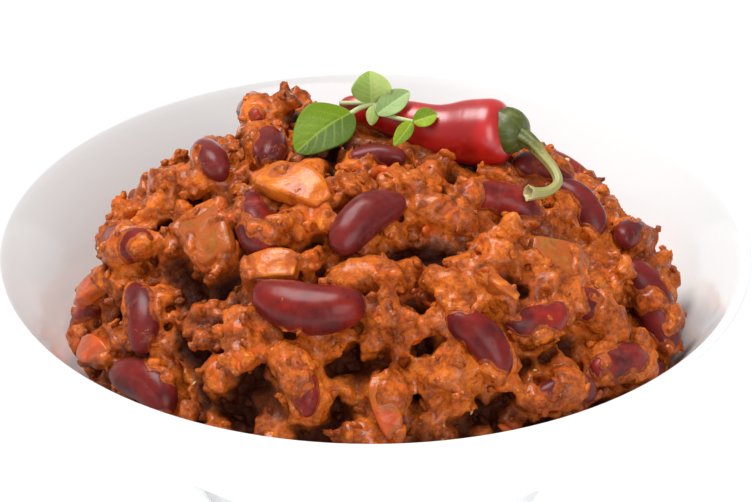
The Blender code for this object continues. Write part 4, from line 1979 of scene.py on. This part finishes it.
@dataclass
class Studio:
    """The pale floor, the soft lights and the camera."""

    lens: float = 125.7
    sensor: float = 36.0
    eye: Point = (0.0008, -0.4217, 0.290)
    aim: Point = (0.0008, -0.006, 0.050)
    lamps: tuple[Lamp, ...] = (
        Lamp("key", (-0.24, 0.12, 0.80), 0.50, 8.2),
        Lamp("front", (0.35, -0.90, 0.50), 0.70, 5.6),
    )
    sky: float = 0.37
    floor_glow: float = 0.35
    floor_size: float = 4

    def _place(self, name: str, data: bpy.types.ID, place: Point) -> bpy.types.Object:
        """Puts a light or a camera in the scene, pointing at the food.

        Args:
            name: Its name.
            data: The light or the camera.
            place: Where it stands.

        Returns:
            The object.
        """
        holder = bpy.data.objects.new(name, data)
        holder.location = place
        holder.rotation_euler = (Vector(self.aim) - Vector(place)).to_track_quat("-Z", "Y").to_euler()
        bpy.context.scene.collection.objects.link(holder)
        return holder

    def _floor(self) -> None:
        """Lays the pale floor."""
        floor = bmesh.new()
        bmesh.ops.create_grid(floor, x_segments=1, y_segments=1, size=self.floor_size)
        material = Graph("pale floor").finish(
            Base_Color=(0.93, 0.93, 0.93),
            Roughness=0.9,
            Emission_Color=(1, 1, 1),
            Emission_Strength=self.floor_glow,
        )
        new_object("floor", to_mesh(floor, "floor", smooth=False), material)

    def build(self) -> None:
        """Sets up floor, world, lights and camera."""
        scene = bpy.context.scene
        scene.view_settings.view_transform = "Standard"
        self._floor()
        scene.world = bpy.data.worlds.new("studio")
        scene.world.use_nodes = True
        sky = scene.world.node_tree.nodes["Background"].inputs
        sky["Color"].default_value = (1, 1, 1, 1)
        sky["Strength"].default_value = self.sky
        for lamp in self.lamps:
            light = bpy.data.lights.new(lamp.name, "AREA")
            light.size, light.energy = lamp.size, lamp.power
            self._place(lamp.name, light, lamp.place)
        camera = bpy.data.cameras.new("camera")
        camera.lens, camera.sensor_width = self.lens, self.sensor
        camera.clip_start, camera.clip_end = 0.01, 20
        scene.camera = self._place("camera", camera, self.eye)


# ---------------------------------------------------------------- this portion


# The share of each piece that thick sauce covers; below 0 the piece is clean except at its very edge.
FRONT_BEANS = (
    *(-0.15, -0.20, 0.40, 0.60, 0.06, 0.50, 0.62, 0.30, 0.42, 0.60, 0.06, 0.75, 0.50),
    *(0.55, 0.40, 0.25, 0.60, 0.60, 0.35, 0.75, 0.35, 0.50, 0.28, 0.32, 0.52, 0.40),
)
BACK_BEANS = (0.5,) * 8
COVERS = {f"kidney_bean_{i:02d}": cover for i, cover in enumerate(FRONT_BEANS + BACK_BEANS, 1)} | {
    "pepper_piece_1": -0.05,
    "pepper_piece_2": 0.40,
    "pepper_piece_3": 0.50,
    "pepper_piece_4": 0.35,
    "onion_piece_1": 0.50,
    "onion_piece_2": 0.42,
    "tomato_piece_1": 0.22,
    "tomato_piece_2": 0.30,
    "tomato_piece_3": 0.50,
    "tomato_piece_4": 0.35,
}

# How far some pieces sink deeper than their nodes, so that they stay below the chilli. Millimetres.
LOWERED = {
    "kidney_bean_03": 1.5,
    "kidney_bean_27": 3.5,
    "kidney_bean_29": 4.5,
    "kidney_bean_30": 3.5,
    "pepper_piece_4": 3.0,
}

BEAN_SKINS = (
    BeanFinish("kidney bean skin"),
    BeanFinish("dark kidney bean skin", red=(0.17, 0.016, 0.014), bloom=(0.22, 0.065, 0.055)),
    BeanFinish("red kidney bean skin", red=(0.32, 0.022, 0.014), bloom=(0.34, 0.08, 0.06)),
)
VEGETABLES = {
    "pepper": VegetableFinish(
        "yellow pepper", (0.66, 0.185, 0.010), (0.52, 0.105, 0.008), (0.42, 0.085, 0.010), film_from=0.58
    ),
    "onion": VegetableFinish(
        "stewed onion", (0.38, 0.13, 0.016), (0.24, 0.070, 0.010), (0.38, 0.08, 0.010), film_from=0.52
    ),
    "tomato": VegetableFinish(
        "cooked tomato", (0.58, 0.090, 0.010), (0.42, 0.05, 0.007), (0.42, 0.09, 0.010), film_from=0.58
    ),
}
GREENS = (
    LeafFinish("bright oregano leaf", (0.125, 0.205, 0.004), (0.060, 0.105, 0.005), (0.24, 0.32, 0.04)),
    LeafFinish("pale oregano leaf", (0.42, 0.52, 0.16), (0.27, 0.38, 0.08), (0.48, 0.58, 0.20)),
    LeafFinish("grey oregano leaf", (0.29, 0.40, 0.15), (0.22, 0.32, 0.11), (0.40, 0.50, 0.22)),
    LeafFinish("young oregano leaf", (0.24, 0.34, 0.015), (0.14, 0.23, 0.012), (0.36, 0.44, 0.06)),
    LeafFinish("oregano stem", (0.46, 0.50, 0.24), (0.36, 0.42, 0.18), (0.55, 0.60, 0.3)),
)
TOMATO_SKIN = VegetableFinish(
    "tomato skin", (0.56, 0.095, 0.010), (0.46, 0.06, 0.008), (0.46, 0.10, 0.01), film_from=0.50
)
PALE_SEED = VegetableFinish(
    "pale seed", (0.80, 0.50, 0.22), (0.66, 0.36, 0.12), (0.5, 0.2, 0.05), film_from=0.75
)


def main() -> None:
    """Builds the bowl, the heap and everything in and on it."""
    logging.basicConfig(level=logging.INFO, format="%(name)s: %(message)s")
    Studio().build()
    bowl = Bowl()
    crockery = bowl.build(PorcelainFinish().make())

    set_in = Beans().build([skin.make() for skin in BEAN_SKINS])
    for kind, flesh in VEGETABLES.items():
        set_in |= Cuts(kind).build([flesh.make()])
    pieces = set_in | Chilli().build(PodFinish().make(), StalkFinish().make())
    leaves = Sprig().build([green.make() for green in GREENS])

    sauce = SauceFinish().make()
    topping = merged("topping", [piece.data for piece in (*leaves, pieces["chilli_pod"])])
    heap = Heap().build(sauce, pieces, COVERS, surface_tree(topping), bowl.inner_face())
    bpy.data.objects.remove(topping)
    tree = surface_tree(heap)
    for node, piece in set_in.items():
        coat_near(piece, tree, COVERS[node])

    around = [*pieces.values(), *leaves, crockery]
    for scraps, finish in (
        (Scraps("meat_crumbs", LumpKind.CRUMB, "sauce", 4.0, 0.6, 1.3, share=0.7, seed=21), sauce),
        (Scraps("tomato_skins", LumpKind.SKIN, "tomato", 9.0, 1.6, 2.8, share=0.12, seed=22), TOMATO_SKIN.make()),
        (Scraps("seeds", LumpKind.SEED, "onion", 9.0, 0.5, 0.8, share=0.2, seed=23), PALE_SEED.make()),
    ):
        scraps.build(heap, finish, around)


if __name__ == "__main__":
    main()
